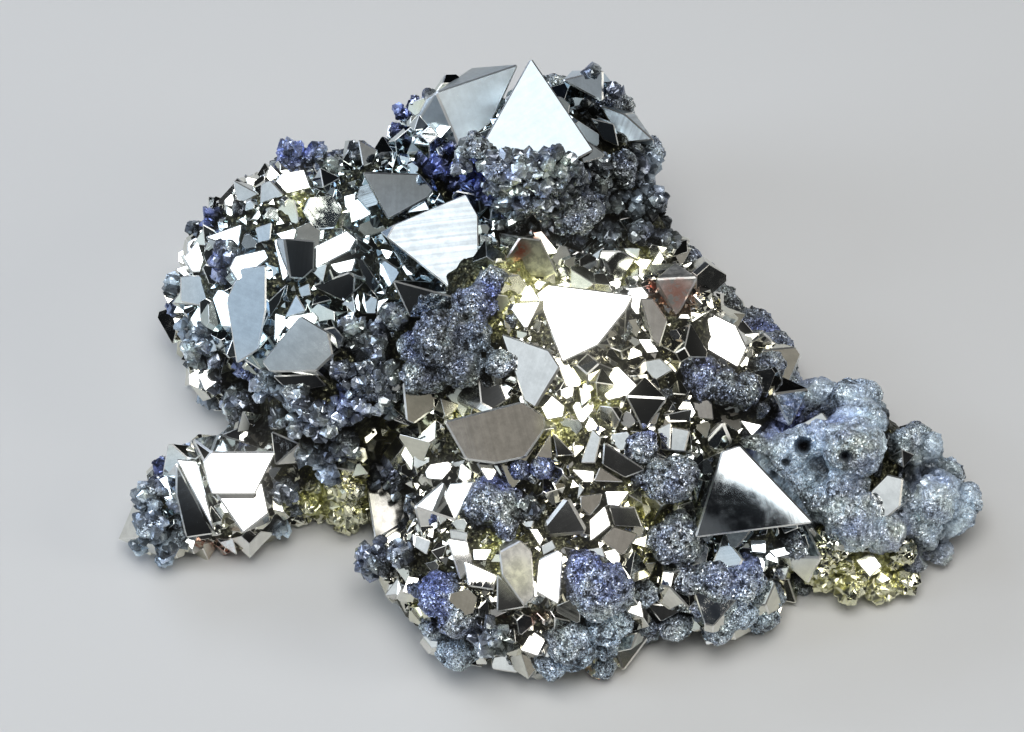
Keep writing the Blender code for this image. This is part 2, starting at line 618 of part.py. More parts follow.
def combine(body, pieces, operation):
    """Unite a body with some pieces, or cut them from it, and remove them."""
    others = bpy.data.collections.new("pieces")
    for piece in pieces:
        others.objects.link(piece)
    change = body.modifiers.new("combine", "BOOLEAN")
    change.operation = operation
    change.solver = "EXACT"
    change.operand_type = "COLLECTION"
    change.collection = others
    settle(body)
    for piece in pieces:
        bpy.data.objects.remove(piece, do_unlink=True)
    bpy.data.collections.remove(others)


def box_below_floor():
    """A block whose top is the floor."""
    shell = bmesh.new()
    place = Matrix.Translation((0.0, 0.0, -FLOOR_CUT_MM.z / 2.0)) @ Matrix.Diagonal((*FLOOR_CUT_MM, 1.0))
    bmesh.ops.create_cube(shell, size=1.0, matrix=place)
    return object_from("below_floor", shell)


def centre_and_scale(mesh):
    """Bring the middle of the underside's box to the origin and turn millimetres into metres."""
    across = [vertex.co.x for vertex in mesh.vertices]
    along = [vertex.co.y for vertex in mesh.vertices]
    shift = Vector((-(min(across) + max(across)) / 2.0, -(min(along) + max(along)) / 2.0, 0.0))
    mesh.transform(Matrix.Scale(MM, 4) @ Matrix.Translation(shift))
    return shift


def pyrite_material():
    """Polished pale brassy metal."""
    made = bpy.data.materials.new("pyrite")
    made.use_nodes = True
    shader = made.node_tree.nodes["Principled BSDF"]
    shader.inputs["Base Color"].default_value = (*METAL_COLOUR, 1.0)
    shader.inputs["Metallic"].default_value = 1.0
    shader.inputs["Roughness"].default_value = METAL_ROUGHNESS
    return made


def build():
    """Make the specimen."""
    clear_scene()
    boulders = place_boulders()
    nodules = nodule_places(boulders)
    growth = [clear_crystal(name, boulders) for name in CRYSTALS]
    rng = random.Random(SCATTER_SEED)
    for number, (point, out, room) in enumerate(scattered_places(boulders)):
        if noise.noise(point / PATCH_SIZE_MM) > 0.0:
            radius = min(rng.uniform(*SMALL_NODULE_MM), room)
            nodules.append((point + out * radius * NODULE_PROUD, radius))
        else:
            size = min(rng.uniform(*SMALL_CRYSTAL_MM), room)
            growth.append(small_crystal(f"small_{number}", point + out * size * SMALL_PROUD, size, rng))
    cluster = rock_body(boulders, nodules)
    combine(cluster, growth, "UNION")
    combine(cluster, [box_below_floor()], "DIFFERENCE")
    keep_largest_shell(cluster.data)
    shift = centre_and_scale(cluster.data)
    cluster.name = "pyrite_cluster"
    cluster.data.name = "pyrite_cluster"
    cluster.data.materials.clear()
    cluster.data.materials.append(pyrite_material())
    print(f"shift {shift.x:.3f} {shift.y:.3f} mm, {len(growth)} crystals, {len(nodules)} nodules")


build()
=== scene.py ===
"""The looks of a pyrite specimen: flat-faced crystals, a crust of small ones, and dark nodules.

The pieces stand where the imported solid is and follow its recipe. Lengths are in millimetres in a
working frame, and each mesh is moved into the model's frame when it becomes a piece. The body is a
heap of rounded boulders. What shows in the photograph is placed by the pixel where it is seen:
along that line of sight, on the boulders. The rest is scattered with fixed seeds.
"""

import math
import random

import bmesh
import bpy
import numpy as np
from mathutils import Matrix, Vector, kdtree, noise


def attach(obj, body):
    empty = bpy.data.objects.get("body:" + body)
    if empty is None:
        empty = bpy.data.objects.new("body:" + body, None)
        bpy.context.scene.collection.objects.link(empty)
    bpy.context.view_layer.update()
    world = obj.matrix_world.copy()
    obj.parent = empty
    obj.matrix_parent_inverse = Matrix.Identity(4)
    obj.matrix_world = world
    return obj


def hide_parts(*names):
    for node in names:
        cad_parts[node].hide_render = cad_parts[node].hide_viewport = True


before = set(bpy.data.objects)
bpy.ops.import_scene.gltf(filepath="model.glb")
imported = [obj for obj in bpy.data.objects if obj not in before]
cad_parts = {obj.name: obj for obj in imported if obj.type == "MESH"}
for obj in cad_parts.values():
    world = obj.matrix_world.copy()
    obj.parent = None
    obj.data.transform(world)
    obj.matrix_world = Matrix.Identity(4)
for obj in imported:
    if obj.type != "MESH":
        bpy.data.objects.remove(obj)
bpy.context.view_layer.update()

# The working frame: millimetres, moved so that the specimen's box is centred on the origin
MM = 0.001
CENTRING_MM = Vector((0.152, -1.233, 0.0))
TO_MODEL_FRAME = Matrix.Scale(MM, 4) @ Matrix.Translation(CENTRING_MM)
SPECIMEN_WIDTH_MM = 60.0
SPECIMEN_WIDTH_PX = 858.0
PX_PER_MM = SPECIMEN_WIDTH_PX / SPECIMEN_WIDTH_MM

# The line of sight of the photograph
VIEW_ELEVATION = math.radians(58.0)
VIEW_DISTANCE_MM = 200.0
VIEW_TARGET_MM = Vector((-2.9, 0.6, 9.0))
PICTURE_CENTRE_PX = (512.0, 366.0)
PICTURE_WIDTH_PX = 1024.0
SENSOR_MM = 36.0
VIEW_RIGHT = Vector((1.0, 0.0, 0.0))
VIEW_UP = Vector((0.0, math.sin(VIEW_ELEVATION), math.cos(VIEW_ELEVATION)))
TOWARDS_EYE = Vector((0.0, -math.cos(VIEW_ELEVATION), math.sin(VIEW_ELEVATION)))
EYE = VIEW_TARGET_MM + TOWARDS_EYE * VIEW_DISTANCE_MM

# The body: each boulder has the pixel where its centre is seen, its height and its three radii
BOULDERS = {
    "left_bulge": ((292, 288), 7.0, (7.4, 8.0, 9.3)),
    "left_bulge_side": ((240, 310), 4.5, (4.3, 6.6, 6.6)),
    "left_bulge_back": ((304, 242), 5.6, (4.8, 4.0, 6.4)),
    "left_knobs": ((330, 400), 6.0, (5.2, 5.0, 7.4)),
    "left_foot": ((225, 495), 3.0, (4.2, 3.3, 4.1)),
    "left_foot_tip": ((165, 510), 2.4, (2.0, 2.8, 2.8)),
    "foot_bridge": ((290, 462), 3.0, (3.8, 3.4, 5.0)),
    "notch": ((348, 480), 2.8, (3.6, 2.8, 4.4)),
    "top_block": ((545, 190), 11.5, (6.7, 5.2, 8.0)),
    "top_block_left": ((456, 168), 9.5, (4.2, 3.8, 7.2)),
    "top_block_right": ((606, 192), 11.0, (2.7, 4.2, 6.6)),
    "right_neck": ((642, 262), 7.5, (2.8, 3.0, 5.5)),
    "left_saddle": ((400, 238), 7.0, (6.2, 5.2, 8.0)),
    "centre": ((500, 352), 8.0, (9.3, 9.0, 9.2)),
    "centre_low": ((560, 450), 6.0, (11.0, 8.6, 7.9)),
    "right_slope": ((663, 354), 7.0, (4.7, 4.8, 7.2)),
    "right_slope_low": ((724, 414), 4.5, (4.6, 4.7, 6.2)),
    "right_middle": ((720, 518), 3.5, (6.4, 5.4, 5.8)),
    "right_lobe": ((846, 480), 3.2, (5.9, 5.3, 5.5)),
    "right_lobe_tip": ((912, 502), 2.5, (3.0, 3.4, 3.7)),
    "right_lobe_low": ((845, 548), 2.2, (4.8, 2.6, 3.5)),
    "bottom_lobe": ((516, 574), 4.0, (8.9, 5.7, 6.5)),
    "bottom_lobe_low": ((540, 615), 2.5, (5.8, 3.6, 4.3)),
    "lower_right": ((700, 588), 2.5, (4.7, 3.0, 3.6)),
    "base_centre": ((525, 390), 2.0, (17.0, 12.5, 4.5)),
    "base_left": ((316, 342), 2.0, (8.0, 8.8, 4.5)),
    "base_right": ((737, 485), 2.0, (11.0, 7.0, 4.0)),
    "base_back": ((553, 250), 4.5, (7.5, 5.6, 5.2)),
    "base_neck": ((620, 312), 5.5, (5.0, 5.0, 6.0)),
}

# The specimen's outline in the photograph, which no scattered growth may pass
OUTLINE_PX = [
    (122, 530), (152, 478), (190, 436), (232, 415), (196, 385), (165, 312), (160, 288), (192, 238),
    (236, 180), (262, 174), (292, 138), (338, 158), (356, 138), (392, 138), (398, 104), (462, 80),
    (531, 56), (548, 80), (590, 66), (622, 100), (652, 128), (666, 200), (672, 236), (712, 275),
    (782, 322), (800, 376), (848, 373), (895, 425), (925, 436), (950, 470), (982, 497), (942, 560),
    (922, 592), (870, 606), (800, 602), (738, 642), (668, 640), (605, 686), (530, 680), (455, 662),
    (408, 612), (366, 562), (370, 540), (310, 520), (280, 545), (236, 556), (165, 568),
]

# Hollows carved into the body: the pixel where each is seen and its radius in millimetres
HOLLOWS = {
    "under_collar": ((552, 262), 2.3),
    "under_collar_left": ((505, 240), 1.6),
    "under_shield": ((425, 296), 2.0),
    "under_curved_grey": ((292, 384), 1.4),
    "left_gully": ((402, 438), 2.4),
    "left_gully_low": ((372, 455), 1.6),
    "above_stepped": ((470, 395), 1.8),
    "notch": ((335, 512), 1.2),
    "foot_gap": ((300, 480), 1.3),
    "right_gully": ((640, 378), 1.6),
    "slope_gully": ((735, 395), 1.4),
    "bright_gully": ((655, 500), 1.5),
    "bright_gully_low": ((662, 560), 1.6),
    "low_gully": ((512, 600), 1.2),
    "beside_summit": ((606, 128), 1.4),
}

# Dark nodules: the pixel where each is seen and its radius in millimetres
NODULES = {
    "collar": [
        ((479, 153), 1.0), ((468, 168), 0.85), ((440, 170), 1.05), ((568, 142), 0.6),
        ((564, 163), 0.85), ((544, 147), 0.55), ((531, 158), 0.7), ((551, 176), 0.65),
        ((580, 178), 0.85), ((571, 196), 0.85), ((523, 177), 0.85), ((505, 160), 0.7),
        ((497, 183), 0.9), ((540, 198), 0.85), ((590, 158), 0.6), ((600, 186), 0.9),
        ((590, 212), 0.95), ((560, 222), 0.95), ((525, 205), 0.8), ((610, 232), 1.0),
        ((575, 240), 0.9), ((480, 190), 0.7), ((450, 150), 0.6),
    ],
    "top_right": [
        ((588, 106), 0.8), ((648, 166), 1.15), ((622, 164), 0.95), ((634, 203), 1.1),
        ((657, 200), 0.95), ((640, 232), 0.9), ((612, 205), 0.8), ((592, 72), 0.6),
        ((615, 90), 0.7), ((668, 240), 0.9), ((625, 180), 0.7),
    ],
    "top_left": [
        ((402, 112), 0.75), ((396, 130), 0.6), ((430, 98), 0.6), ((415, 103), 0.6),
        ((432, 168), 0.8), ((291, 152), 1.15), ((314, 152), 0.9), ((282, 163), 0.8),
        ((360, 152), 0.9), ((385, 160), 0.7), ((330, 165), 0.6),
    ],
    "left_bulge": [
        ((212, 218), 0.9), ((196, 228), 0.7), ((225, 255), 1.2), ((222, 276), 0.8),
        ((172, 285), 0.85), ((176, 310), 0.8), ((186, 330), 0.8), ((198, 352), 0.95),
        ((212, 378), 1.1), ((190, 365), 0.6), ((208, 330), 0.9), ((215, 402), 0.9),
        ((236, 210), 0.6), ((268, 330), 0.4), ((265, 346), 0.5), ((205, 400), 0.6),
    ],
    "left_knobs": [
        ((352, 333), 1.35), ((379, 330), 1.25), ((372, 352), 1.4), ((368, 388), 2.0),
        ((392, 405), 1.2), ((345, 410), 1.3), ((248, 369), 1.1), ((268, 385), 1.25),
        ((294, 397), 1.3), ((280, 372), 0.7), ((322, 420), 1.5), ((300, 425), 1.1),
        ((325, 455), 1.4), ((345, 445), 1.2), ((305, 452), 1.1), ((330, 475), 0.9),
        ((280, 418), 0.9), ((395, 372), 1.0), ((340, 368), 0.8),
    ],
    "centre": [
        ((442, 338), 2.0), ((425, 375), 1.5), ((462, 365), 1.4), ((481, 304), 1.15),
        ((464, 302), 0.95), ((494, 280), 0.8), ((499, 362), 1.0), ((512, 322), 0.7),
        ((478, 335), 1.2), ((412, 345), 1.1), ((616, 330), 0.9), ((494, 504), 1.9),
        ((493, 473), 0.7), ((545, 466), 0.75), ((520, 470), 0.6), ((505, 530), 1.0),
        ((645, 442), 1.2), ((640, 478), 0.6),
    ],
    "bottom": [
        ((600, 590), 2.1), ((608, 622), 1.7), ((585, 570), 1.2), ((577, 652), 1.35),
        ((549, 664), 1.2), ((603, 645), 0.9), ((438, 598), 1.4), ((459, 622), 1.4),
        ((458, 645), 1.4), ((432, 625), 0.9), ((603, 668), 0.8), ((415, 590), 0.8),
    ],
    "right_slope": [
        ((700, 378), 1.5), ((667, 396), 0.65), ((725, 385), 1.2), ((758, 340), 1.1),
        ((775, 335), 0.8), ((765, 365), 1.3), ((745, 390), 1.2), ((785, 385), 1.1),
        ((722, 303), 0.7), ((740, 318), 0.7), ((760, 410), 0.8), ((785, 352), 0.9),
    ],
    "golden_knob": [((700, 300), 0.9), ((690, 265), 0.8), ((705, 280), 0.8)],
    "right_lobe": [
        ((795, 450), 1.9), ((850, 447), 2.2), ((825, 440), 1.4), ((770, 435), 1.0),
        ((820, 395), 1.5), ((850, 400), 1.5), ((868, 420), 1.2), ((795, 400), 0.7),
        ((925, 450), 1.5), ((905, 440), 1.1), ((945, 470), 1.0), ((935, 500), 1.7),
        ((965, 500), 1.1), ((925, 530), 1.2), ((940, 552), 0.8), ((850, 520), 2.0),
        ((820, 500), 1.1), ((885, 535), 1.3), ((840, 490), 1.0), ((910, 560), 1.0),
    ],
    "lower_right": [
        ((715, 580), 1.4), ((745, 580), 1.6), ((740, 610), 1.2), ((717, 624), 1.0),
        ((678, 624), 1.1), ((762, 618), 1.2), ((795, 545), 1.0), ((800, 580), 0.9),
        ((770, 595), 0.8), ((700, 610), 0.8),
    ],
    "golden_end": [
        ((820, 565), 1.1), ((850, 585), 1.3), ((880, 585), 1.3), ((905, 580), 1.1), ((835, 545), 1.1),
    ],
    "left_foot": [
        ((165, 470), 1.1), ((150, 495), 1.3), ((150, 525), 1.4), ((170, 545), 1.2),
        ((165, 558), 0.8), ((140, 540), 1.0), ((185, 525), 0.9), ((285, 490), 1.1),
        ((290, 508), 0.9), ((278, 525), 1.0), ((180, 500), 1.0),
    ],
}

# Nodules heaped against the foot of the summit: their pixels, radii, and how far each stands from
# the body, as a share of the way to the plane of the summit's face
HEAPED_NODULES = [
    ((480, 150), 0.75, 1.0), ((492, 155), 0.7, 1.0), ((505, 157), 0.75, 1.0), ((518, 158), 0.7, 1.0),
    ((531, 156), 0.65, 1.0), ((544, 155), 0.65, 1.0), ((557, 154), 0.65, 1.0), ((474, 140), 0.7, 1.0),
    ((486, 167), 0.8, 0.9), ((500, 171), 0.85, 0.95), ((516, 172), 0.85, 1.0), ((533, 170), 0.8, 1.0),
    ((549, 169), 0.8, 1.0), ((562, 173), 0.7, 0.9), ((492, 184), 0.85, 0.7), ((509, 187), 0.9, 0.75),
    ((527, 187), 0.9, 0.8), ((545, 186), 0.85, 0.8), ((562, 186), 0.8, 0.7), ((579, 176), 0.75, 0.5),
    ((505, 203), 0.85, 0.45), ((523, 204), 0.9, 0.5), ((542, 203), 0.9, 0.5), ((560, 202), 0.8, 0.4),
    ((466, 151), 0.8, 0.9), ((461, 165), 0.85, 0.8), ((569, 160), 0.65, 1.0), ((577, 170), 0.6, 0.9),
]
HEAP_FORWARD_MM = 0.3

# Where no crust of crystals grows: outlines in the photograph, and the radius of the nodule that
# grows in each crystal's place, as a share of the crystal's size
BARE_REGIONS = {
    "collar": (0.8, [
        (452, 140), (480, 146), (600, 150), (640, 140), (672, 150), (680, 240), (640, 250), (600, 244),
        (560, 236), (505, 222), (470, 200), (440, 200), (424, 168),
    ]),
    "beside_summit": (0.0, [(540, 66), (572, 70), (600, 98), (622, 118), (640, 148), (598, 150)]),
    "left_knobs": (0.0, [
        (334, 318), (398, 315), (404, 345), (408, 395), (384, 424), (346, 440), (345, 480), (300, 480),
        (232, 400), (232, 360), (262, 376), (318, 376), (332, 360),
    ]),
    "centre": (0.0, [
        (412, 322), (440, 310), (490, 310), (500, 372), (480, 390), (420, 390), (400, 350),
    ]),
    "right_lobe": (0.9, [
        (760, 372), (905, 372), (990, 480), (985, 545), (905, 548), (855, 538), (780, 525), (745, 440),
    ]),
    "golden_end": (0.7, [
        (800, 560), (850, 544), (915, 546), (930, 590), (870, 615), (800, 610), (776, 590),
    ]),
    "foot_bridge": (0.7, [(284, 466), (350, 470), (366, 500), (372, 532), (340, 530), (284, 512)]),
}
SMALLEST_IN_PLACE_MM = 0.45

# How a face turns away from the eye, in degrees to the right and upwards. The four usual turns
# make a face catch the bright, light, dim or dark part of the room
BRIGHT = (0.0, 11.0)
LIGHT = (-14.0, 4.0)
DIM = (13.0, 3.0)
DARK = (3.0, -13.0)

# Clear crystals: the turn of the seen face and its corners in pixels
CRYSTALS = {
    "summit": (BRIGHT, [(531, 57), (594, 150), (560, 168), (500, 166), (481, 146)]),
    "summit_toe": (DIM, [(577, 144), (586, 140), (605, 153), (604, 157), (583, 163)]),
    "back_left": (DIM, [(436, 92), (463, 83), (519, 64), (491, 124), (460, 147)]),
    "upper_right": (DIM, [(562, 80), (603, 70), (603, 102)]),
    "right_slab": (LIGHT, [(598, 104), (625, 114), (654, 140), (622, 143)]),
    "shield": (BRIGHT, [(387, 238), (395, 224), (466, 193), (478, 214), (479, 293), (458, 294)]),
    "shield_cap": (BRIGHT, [(402, 214), (412, 197), (424, 198), (430, 210)]),
    "brown_grey": (DIM, [(362, 172), (420, 174), (434, 190), (428, 198), (388, 220)]),
    "great_white": (BRIGHT, [(536, 293), (548, 284), (634, 295), (626, 310), (598, 345), (562, 362)]),
    "white_neighbour": (DIM, [(640, 298), (653, 298), (668, 320), (660, 346), (652, 340)]),
    "pale_chip": (BRIGHT, [(638, 339), (651, 339), (659, 352), (647, 353)]),
    "brown_dark": (DARK, [(600, 251), (622, 251), (636, 259), (620, 284), (597, 272)]),
    "brown_tip": (LIGHT, [(622, 248), (640, 248), (637, 260)]),
    "light_wedge": (LIGHT, [(500, 333), (549, 350), (560, 367), (535, 408), (524, 401)]),
    "stepped": (DIM, [
        (444, 421), (522, 401), (545, 415), (546, 428), (525, 458), (496, 464), (466, 460),
    ]),
    "small_white": (BRIGHT, [(548, 392), (565, 406), (563, 417), (547, 420), (540, 406)]),
    "great_triangle": ((2.0, 6.0), [(722, 451), (740, 445), (814, 523), (695, 537)]),
    "behind_triangle": (DARK, [(694, 447), (722, 419), (733, 444), (720, 454)]),
    "right_white": (BRIGHT, [(685, 337), (710, 312), (736, 325), (747, 348), (738, 368)]),
    "rusty": (DARK, [(655, 279), (698, 277), (676, 318)]),
    "lobe_white": (BRIGHT, [(853, 435), (881, 437), (866, 457)]),
    "lobe_pale": (LIGHT, [(866, 495), (887, 474), (903, 478), (900, 507), (883, 521)]),
    "lobe_low_white": (BRIGHT, [(855, 560), (872, 552), (882, 566), (870, 577)]),
    "lobe_sliver": (LIGHT, [(793, 428), (822, 412), (830, 422), (812, 432)]),
    "curved_grey": (LIGHT, [(261, 362), (300, 315), (328, 332), (333, 355), (316, 371), (269, 372)]),
    "slab": (LIGHT, [(226, 300), (240, 268), (266, 265), (266, 310), (258, 350), (236, 364)]),
    "slab_cap": (BRIGHT, [(229, 268), (235, 256), (265, 249), (269, 258), (238, 282)]),
    "dark_square": (DARK, [(284, 238), (315, 241), (314, 269), (303, 279), (290, 278)]),
    "white_wing": (BRIGHT, [(347, 230), (357, 239), (350, 251), (315, 269), (315, 246)]),
    "dark_oval": (DARK, [(311, 286), (350, 272), (355, 277), (354, 292), (344, 302)]),
    "pale_blue": (LIGHT, [(364, 257), (381, 257), (410, 276), (391, 296)]),
    "top_white": (BRIGHT, [(275, 182), (282, 173), (304, 169), (311, 188), (287, 194)]),
    "top_grey": (LIGHT, [(261, 184), (270, 180), (284, 195), (260, 204)]),
    "top_point": (LIGHT, [(233, 180), (259, 194), (238, 205)]),
    "far_left_white": (BRIGHT, [(205, 237), (242, 224), (238, 249), (225, 241)]),
    "left_edge_white": (BRIGHT, [(184, 258), (198, 240), (208, 272), (192, 272)]),
    "left_edge_grey": (LIGHT, [(180, 276), (200, 275), (214, 290), (200, 306), (180, 302)]),
    "left_small_a": (LIGHT, [(284, 318), (296, 294), (306, 311)]),
    "left_small_b": (BRIGHT, [(274, 342), (275, 313), (292, 318)]),
    "left_small_c": (BRIGHT, [(353, 306), (358, 290), (360, 312)]),
    "left_small_d": (LIGHT, [(362, 291), (378, 299), (376, 314), (360, 314)]),
    "foot_white": (BRIGHT, [(204, 461), (211, 452), (276, 452), (259, 470), (255, 494), (212, 494)]),
    "foot_white_low": (BRIGHT, [(214, 491), (262, 480), (269, 513), (243, 533), (236, 503)]),
    "foot_slab": (DARK, [(176, 462), (214, 534), (186, 538), (176, 495)]),
    "foot_band": (BRIGHT, [(176, 459), (197, 461), (207, 500), (215, 532)]),
    "foot_tip": (LIGHT, [(214, 536), (233, 537), (237, 555), (222, 545)]),
    "hollow_curved": ((4.0, 7.0), [(366, 482), (400, 475), (424, 500), (405, 522), (375, 540)]),
    "hexagon": (BRIGHT, [(425, 471), (430, 464), (448, 461), (455, 466), (442, 480), (427, 478)]),
    "light_spike": (LIGHT, [(580, 463), (592, 428), (601, 437), (595, 463)]),
    "black_wedge": (DARK, [(604, 442), (646, 470), (625, 478), (602, 465)]),
    "window": (DARK, [(568, 495), (589, 533), (577, 529), (547, 537), (544, 525)]),
    "window_white": (BRIGHT, [(589, 520), (605, 505), (611, 525), (590, 542)]),
    "window_black": (DARK, [(609, 507), (635, 507), (643, 528), (614, 526)]),
    "window_grey": (DIM, [(614, 526), (639, 534), (623, 556), (600, 540)]),
    "window_top": (BRIGHT, [(605, 491), (630, 491), (619, 506), (608, 505)]),
    "tall_white": (BRIGHT, [(538, 560), (558, 550), (563, 553), (559, 605), (535, 591)]),
    "olive_tall": ((10.0, -4.0), [
        (499, 552), (521, 540), (532, 550), (535, 596), (525, 607), (502, 575),
    ]),
    "small_quad": (LIGHT, [(541, 546), (552, 540), (556, 548), (543, 555)]),
    "low_black": (DARK, [(497, 574), (526, 607), (497, 612)]),
    "low_curved": ((6.0, 2.0), [(447, 538), (468, 541), (474, 566), (460, 580)]),
    "low_striped": ((3.0, 5.0), [(464, 560), (498, 575), (494, 590), (468, 586)]),
    "low_left_white": (BRIGHT, [(402, 592), (408, 576), (420, 578), (412, 594)]),
    "low_left_pale": (LIGHT, [(384, 596), (398, 577), (400, 594)]),
    "bottom_grey": (LIGHT, [(490, 655), (506, 652), (518, 673), (492, 669)]),
    "bottom_point": (BRIGHT, [(520, 650), (532, 630), (546, 640), (538, 656)]),
    "slope_grey_a": (LIGHT, [(638, 362), (660, 358), (673, 370), (655, 381)]),
    "slope_grey_b": (DIM, [(690, 403), (712, 398), (714, 420), (695, 418)]),
    "slope_pale": (BRIGHT, [(740, 420), (762, 425), (752, 436)]),
    "near_triangle_a": (BRIGHT, [(673, 488), (690, 483), (692, 496), (678, 500)]),
    "near_triangle_b": (LIGHT, [(660, 424), (690, 430), (685, 452), (660, 450)]),
    "low_right_white": (BRIGHT, [(750, 540), (766, 540), (766, 553), (752, 552)]),
    "low_right_pale": (LIGHT, [(769, 565), (790, 565), (785, 580), (770, 579)]),
    "amber": (DARK, [(505, 260), (520, 237), (541, 240), (560, 278), (510, 276)]),
}

# Crystals that are too small for the solid, given in the same way
FINER_CRYSTALS = {
    "stepped_side": (LIGHT, [(444, 420), (467, 418), (453, 440)]),
    "roof_grey": (DIM, [(551, 433), (534, 460), (552, 458)]),
    "roof_dark": (DARK, [(553, 433), (575, 455), (557, 456)]),
    "under_wedge": (DIM, [(600, 467), (624, 482), (594, 481)]),
    "wedge_quad": (BRIGHT, [(571, 469), (594, 471), (593, 482), (584, 482)]),
    "window_brown": (DIM, [(580, 496), (603, 493), (600, 504), (590, 516), (581, 508)]),
    "window_amber": (LIGHT, [(579, 483), (584, 489), (577, 500)]),
    "beside_window": (LIGHT, [(522, 500), (535, 498), (536, 516), (531, 531), (514, 520)]),
    "tall_cap_dark": (DARK, [(563, 547), (584, 551), (585, 559), (567, 557)]),
    "tall_cap_pale": (LIGHT, [(588, 549), (602, 547), (605, 557), (592, 558)]),
    "gully_white": (BRIGHT, [(663, 516), (684, 541), (671, 543), (660, 531)]),
    "low_dark_triangle": (DARK, [(647, 604), (690, 606), (661, 622)]),
    "curved_neighbour": (LIGHT, [(449, 529), (468, 533), (466, 543), (453, 551)]),
    "curved_white": (BRIGHT, [(473, 549), (492, 549), (486, 560), (474, 560)]),
    "low_left_quad": (LIGHT, [(416, 535), (431, 541), (427, 555), (414, 547)]),
    "low_left_black": (DARK, [(431, 551), (447, 545), (441, 563)]),
    "low_left_blade": (BRIGHT, [(427, 536), (434, 524), (433, 538)]),
    "upper_right_pale": (LIGHT, [(657, 429), (671, 422), (670, 450), (661, 441)]),
    "upper_right_dim": (DIM, [(639, 412), (660, 412), (656, 424), (643, 424)]),
    "upper_right_black": (DARK, [(663, 415), (692, 409), (690, 422), (667, 423)]),
    "square_band": (BRIGHT, [(274, 240), (281, 237), (288, 276), (283, 281)]),
    "wing_low": (BRIGHT, [(326, 265), (356, 258), (352, 271), (338, 273)]),
    "black_strip": (DARK, [(357, 259), (362, 258), (388, 297), (379, 300), (364, 282)]),
    "small_bright_e": (BRIGHT, [(378, 301), (389, 298), (377, 313)]),
    "small_pale_f": (LIGHT, [(341, 304), (352, 294), (355, 313), (346, 314)]),
    "small_pale_g": (LIGHT, [(298, 288), (309, 283), (311, 295), (301, 297)]),
    "slab_shadow": (DARK, [(268, 302), (287, 284), (279, 304), (267, 322)]),
    "tip_dark_left": (DARK, [(355, 139), (342, 160), (361, 173)]),
    "tip_dark_right": (DIM, [(358, 139), (378, 150), (372, 167), (364, 173)]),
    "under_shield_black": (DARK, [(392, 280), (455, 297), (446, 318), (410, 318)]),
    "summit_side_black": (DARK, [(590, 118), (614, 124), (619, 147), (603, 140)]),
    "under_curved_black": (DARK, [(272, 376), (316, 374), (327, 386), (290, 393)]),
    "left_top_pale": (LIGHT, [(318, 176), (330, 172), (336, 186), (322, 190)]),
    "left_top_white": (BRIGHT, [(344, 196), (356, 193), (354, 212), (345, 209)]),
    "left_mid_pale": (LIGHT, [(255, 228), (272, 222), (270, 240), (258, 243)]),
    "right_grey_c": (LIGHT, [(630, 402), (646, 397), (650, 408), (636, 412)]),
    "slope_black": (DARK, [(705, 366), (728, 372), (722, 388), (704, 382)]),
    "bottom_point_pale": (LIGHT, [(546, 641), (557, 648), (548, 658), (540, 655)]),
    "bottom_white_a": (BRIGHT, [(472, 640), (486, 636), (488, 650), (476, 652)]),
    "bottom_pale_b": (LIGHT, [(500, 632), (514, 628), (516, 642), (503, 646)]),
    "lower_right_pale": (LIGHT, [(700, 632), (716, 628), (722, 642), (706, 645)]),
    "lobe_pale_b": (LIGHT, [(778, 520), (794, 512), (798, 528), (784, 534)]),
    "foot_grey": (DIM, [(190, 441), (215, 435), (204, 460)]),
    "foot_green": (DIM, [(219, 434), (276, 450), (214, 451)]),
    "notch_white": (BRIGHT, [(372, 512), (390, 505), (396, 520), (380, 530)]),
    "rim_a": (BRIGHT, [(162, 292), (172, 284), (178, 296), (168, 304)]),
    "rim_b": (BRIGHT, [(197, 372), (212, 368), (217, 382), (205, 391)]),
    "rim_c": (BRIGHT, [(173, 318), (184, 314), (187, 326), (177, 331)]),
    "rim_d": (LIGHT, [(203, 339), (215, 337), (217, 351), (206, 353)]),
    "rim_e": (BRIGHT, [(182, 338), (193, 350), (184, 357)]),
}
ALL_CRYSTALS = CRYSTALS | FINER_CRYSTALS

# How far a face stands out from the body, in millimetres, where it isn't the usual share of its size
CRYSTAL_LIFTS_MM = {
    "summit": 3.4, "summit_toe": 3.8, "back_left": 1.2, "shield": 2.4, "great_triangle": 2.4,
    "hollow_curved": 1.2, "amber": -0.6, "under_shield_black": 0.5, "foot_grey": 1.0,
    "foot_green": 1.0, "rim_a": 1.8, "rim_b": 2.0, "rim_c": 1.8, "rim_d": 1.8, "rim_e": 1.8,
}

# Further corners, behind the plane of the seen face: their pixels and how many millimetres behind
CRYSTAL_SHOULDERS = {
    "back_left": [((426, 98), 0.7), ((454, 160), 0.9), ((399, 154), 2.8)],
    "upper_right": [((613, 82), 0.9)],
    "shield": [((380, 232), 0.5)],
    "curved_grey": [((331, 384), 2.4)],
    "dark_square": [((275, 239), 0.6), ((287, 280), 0.6)],
    "foot_white": [((192, 438), 1.6), ((218, 434), 1.5)],
}

# The number that marks a bevel while a shape is made
BEVEL_MARK = 1

# How the large crystals are made. Size is the square root of the seen face's area, and the root is
# the far side, a smaller mirror image of the seen face. Ripples are faint waves of the faces
CRYSTAL_DEPTH_PER_SIZE = 1.15
CRYSTAL_LIFT_PER_SIZE = 0.45
CRYSTAL_ROOT_SHARE = 0.85
CRYSTAL_BEVEL_MM = 0.1
CRYSTAL_BEVEL_SHARE = 0.05
FLAT_BELOW = math.radians(1.0)
FACE_CUTS = 7
RIPPLE_MM = 0.012
RIPPLE_SIZE_MM = 3.0
SAME_FACE = math.cos(math.radians(1.8))
SMOOTH_BELOW = math.radians(9.0)

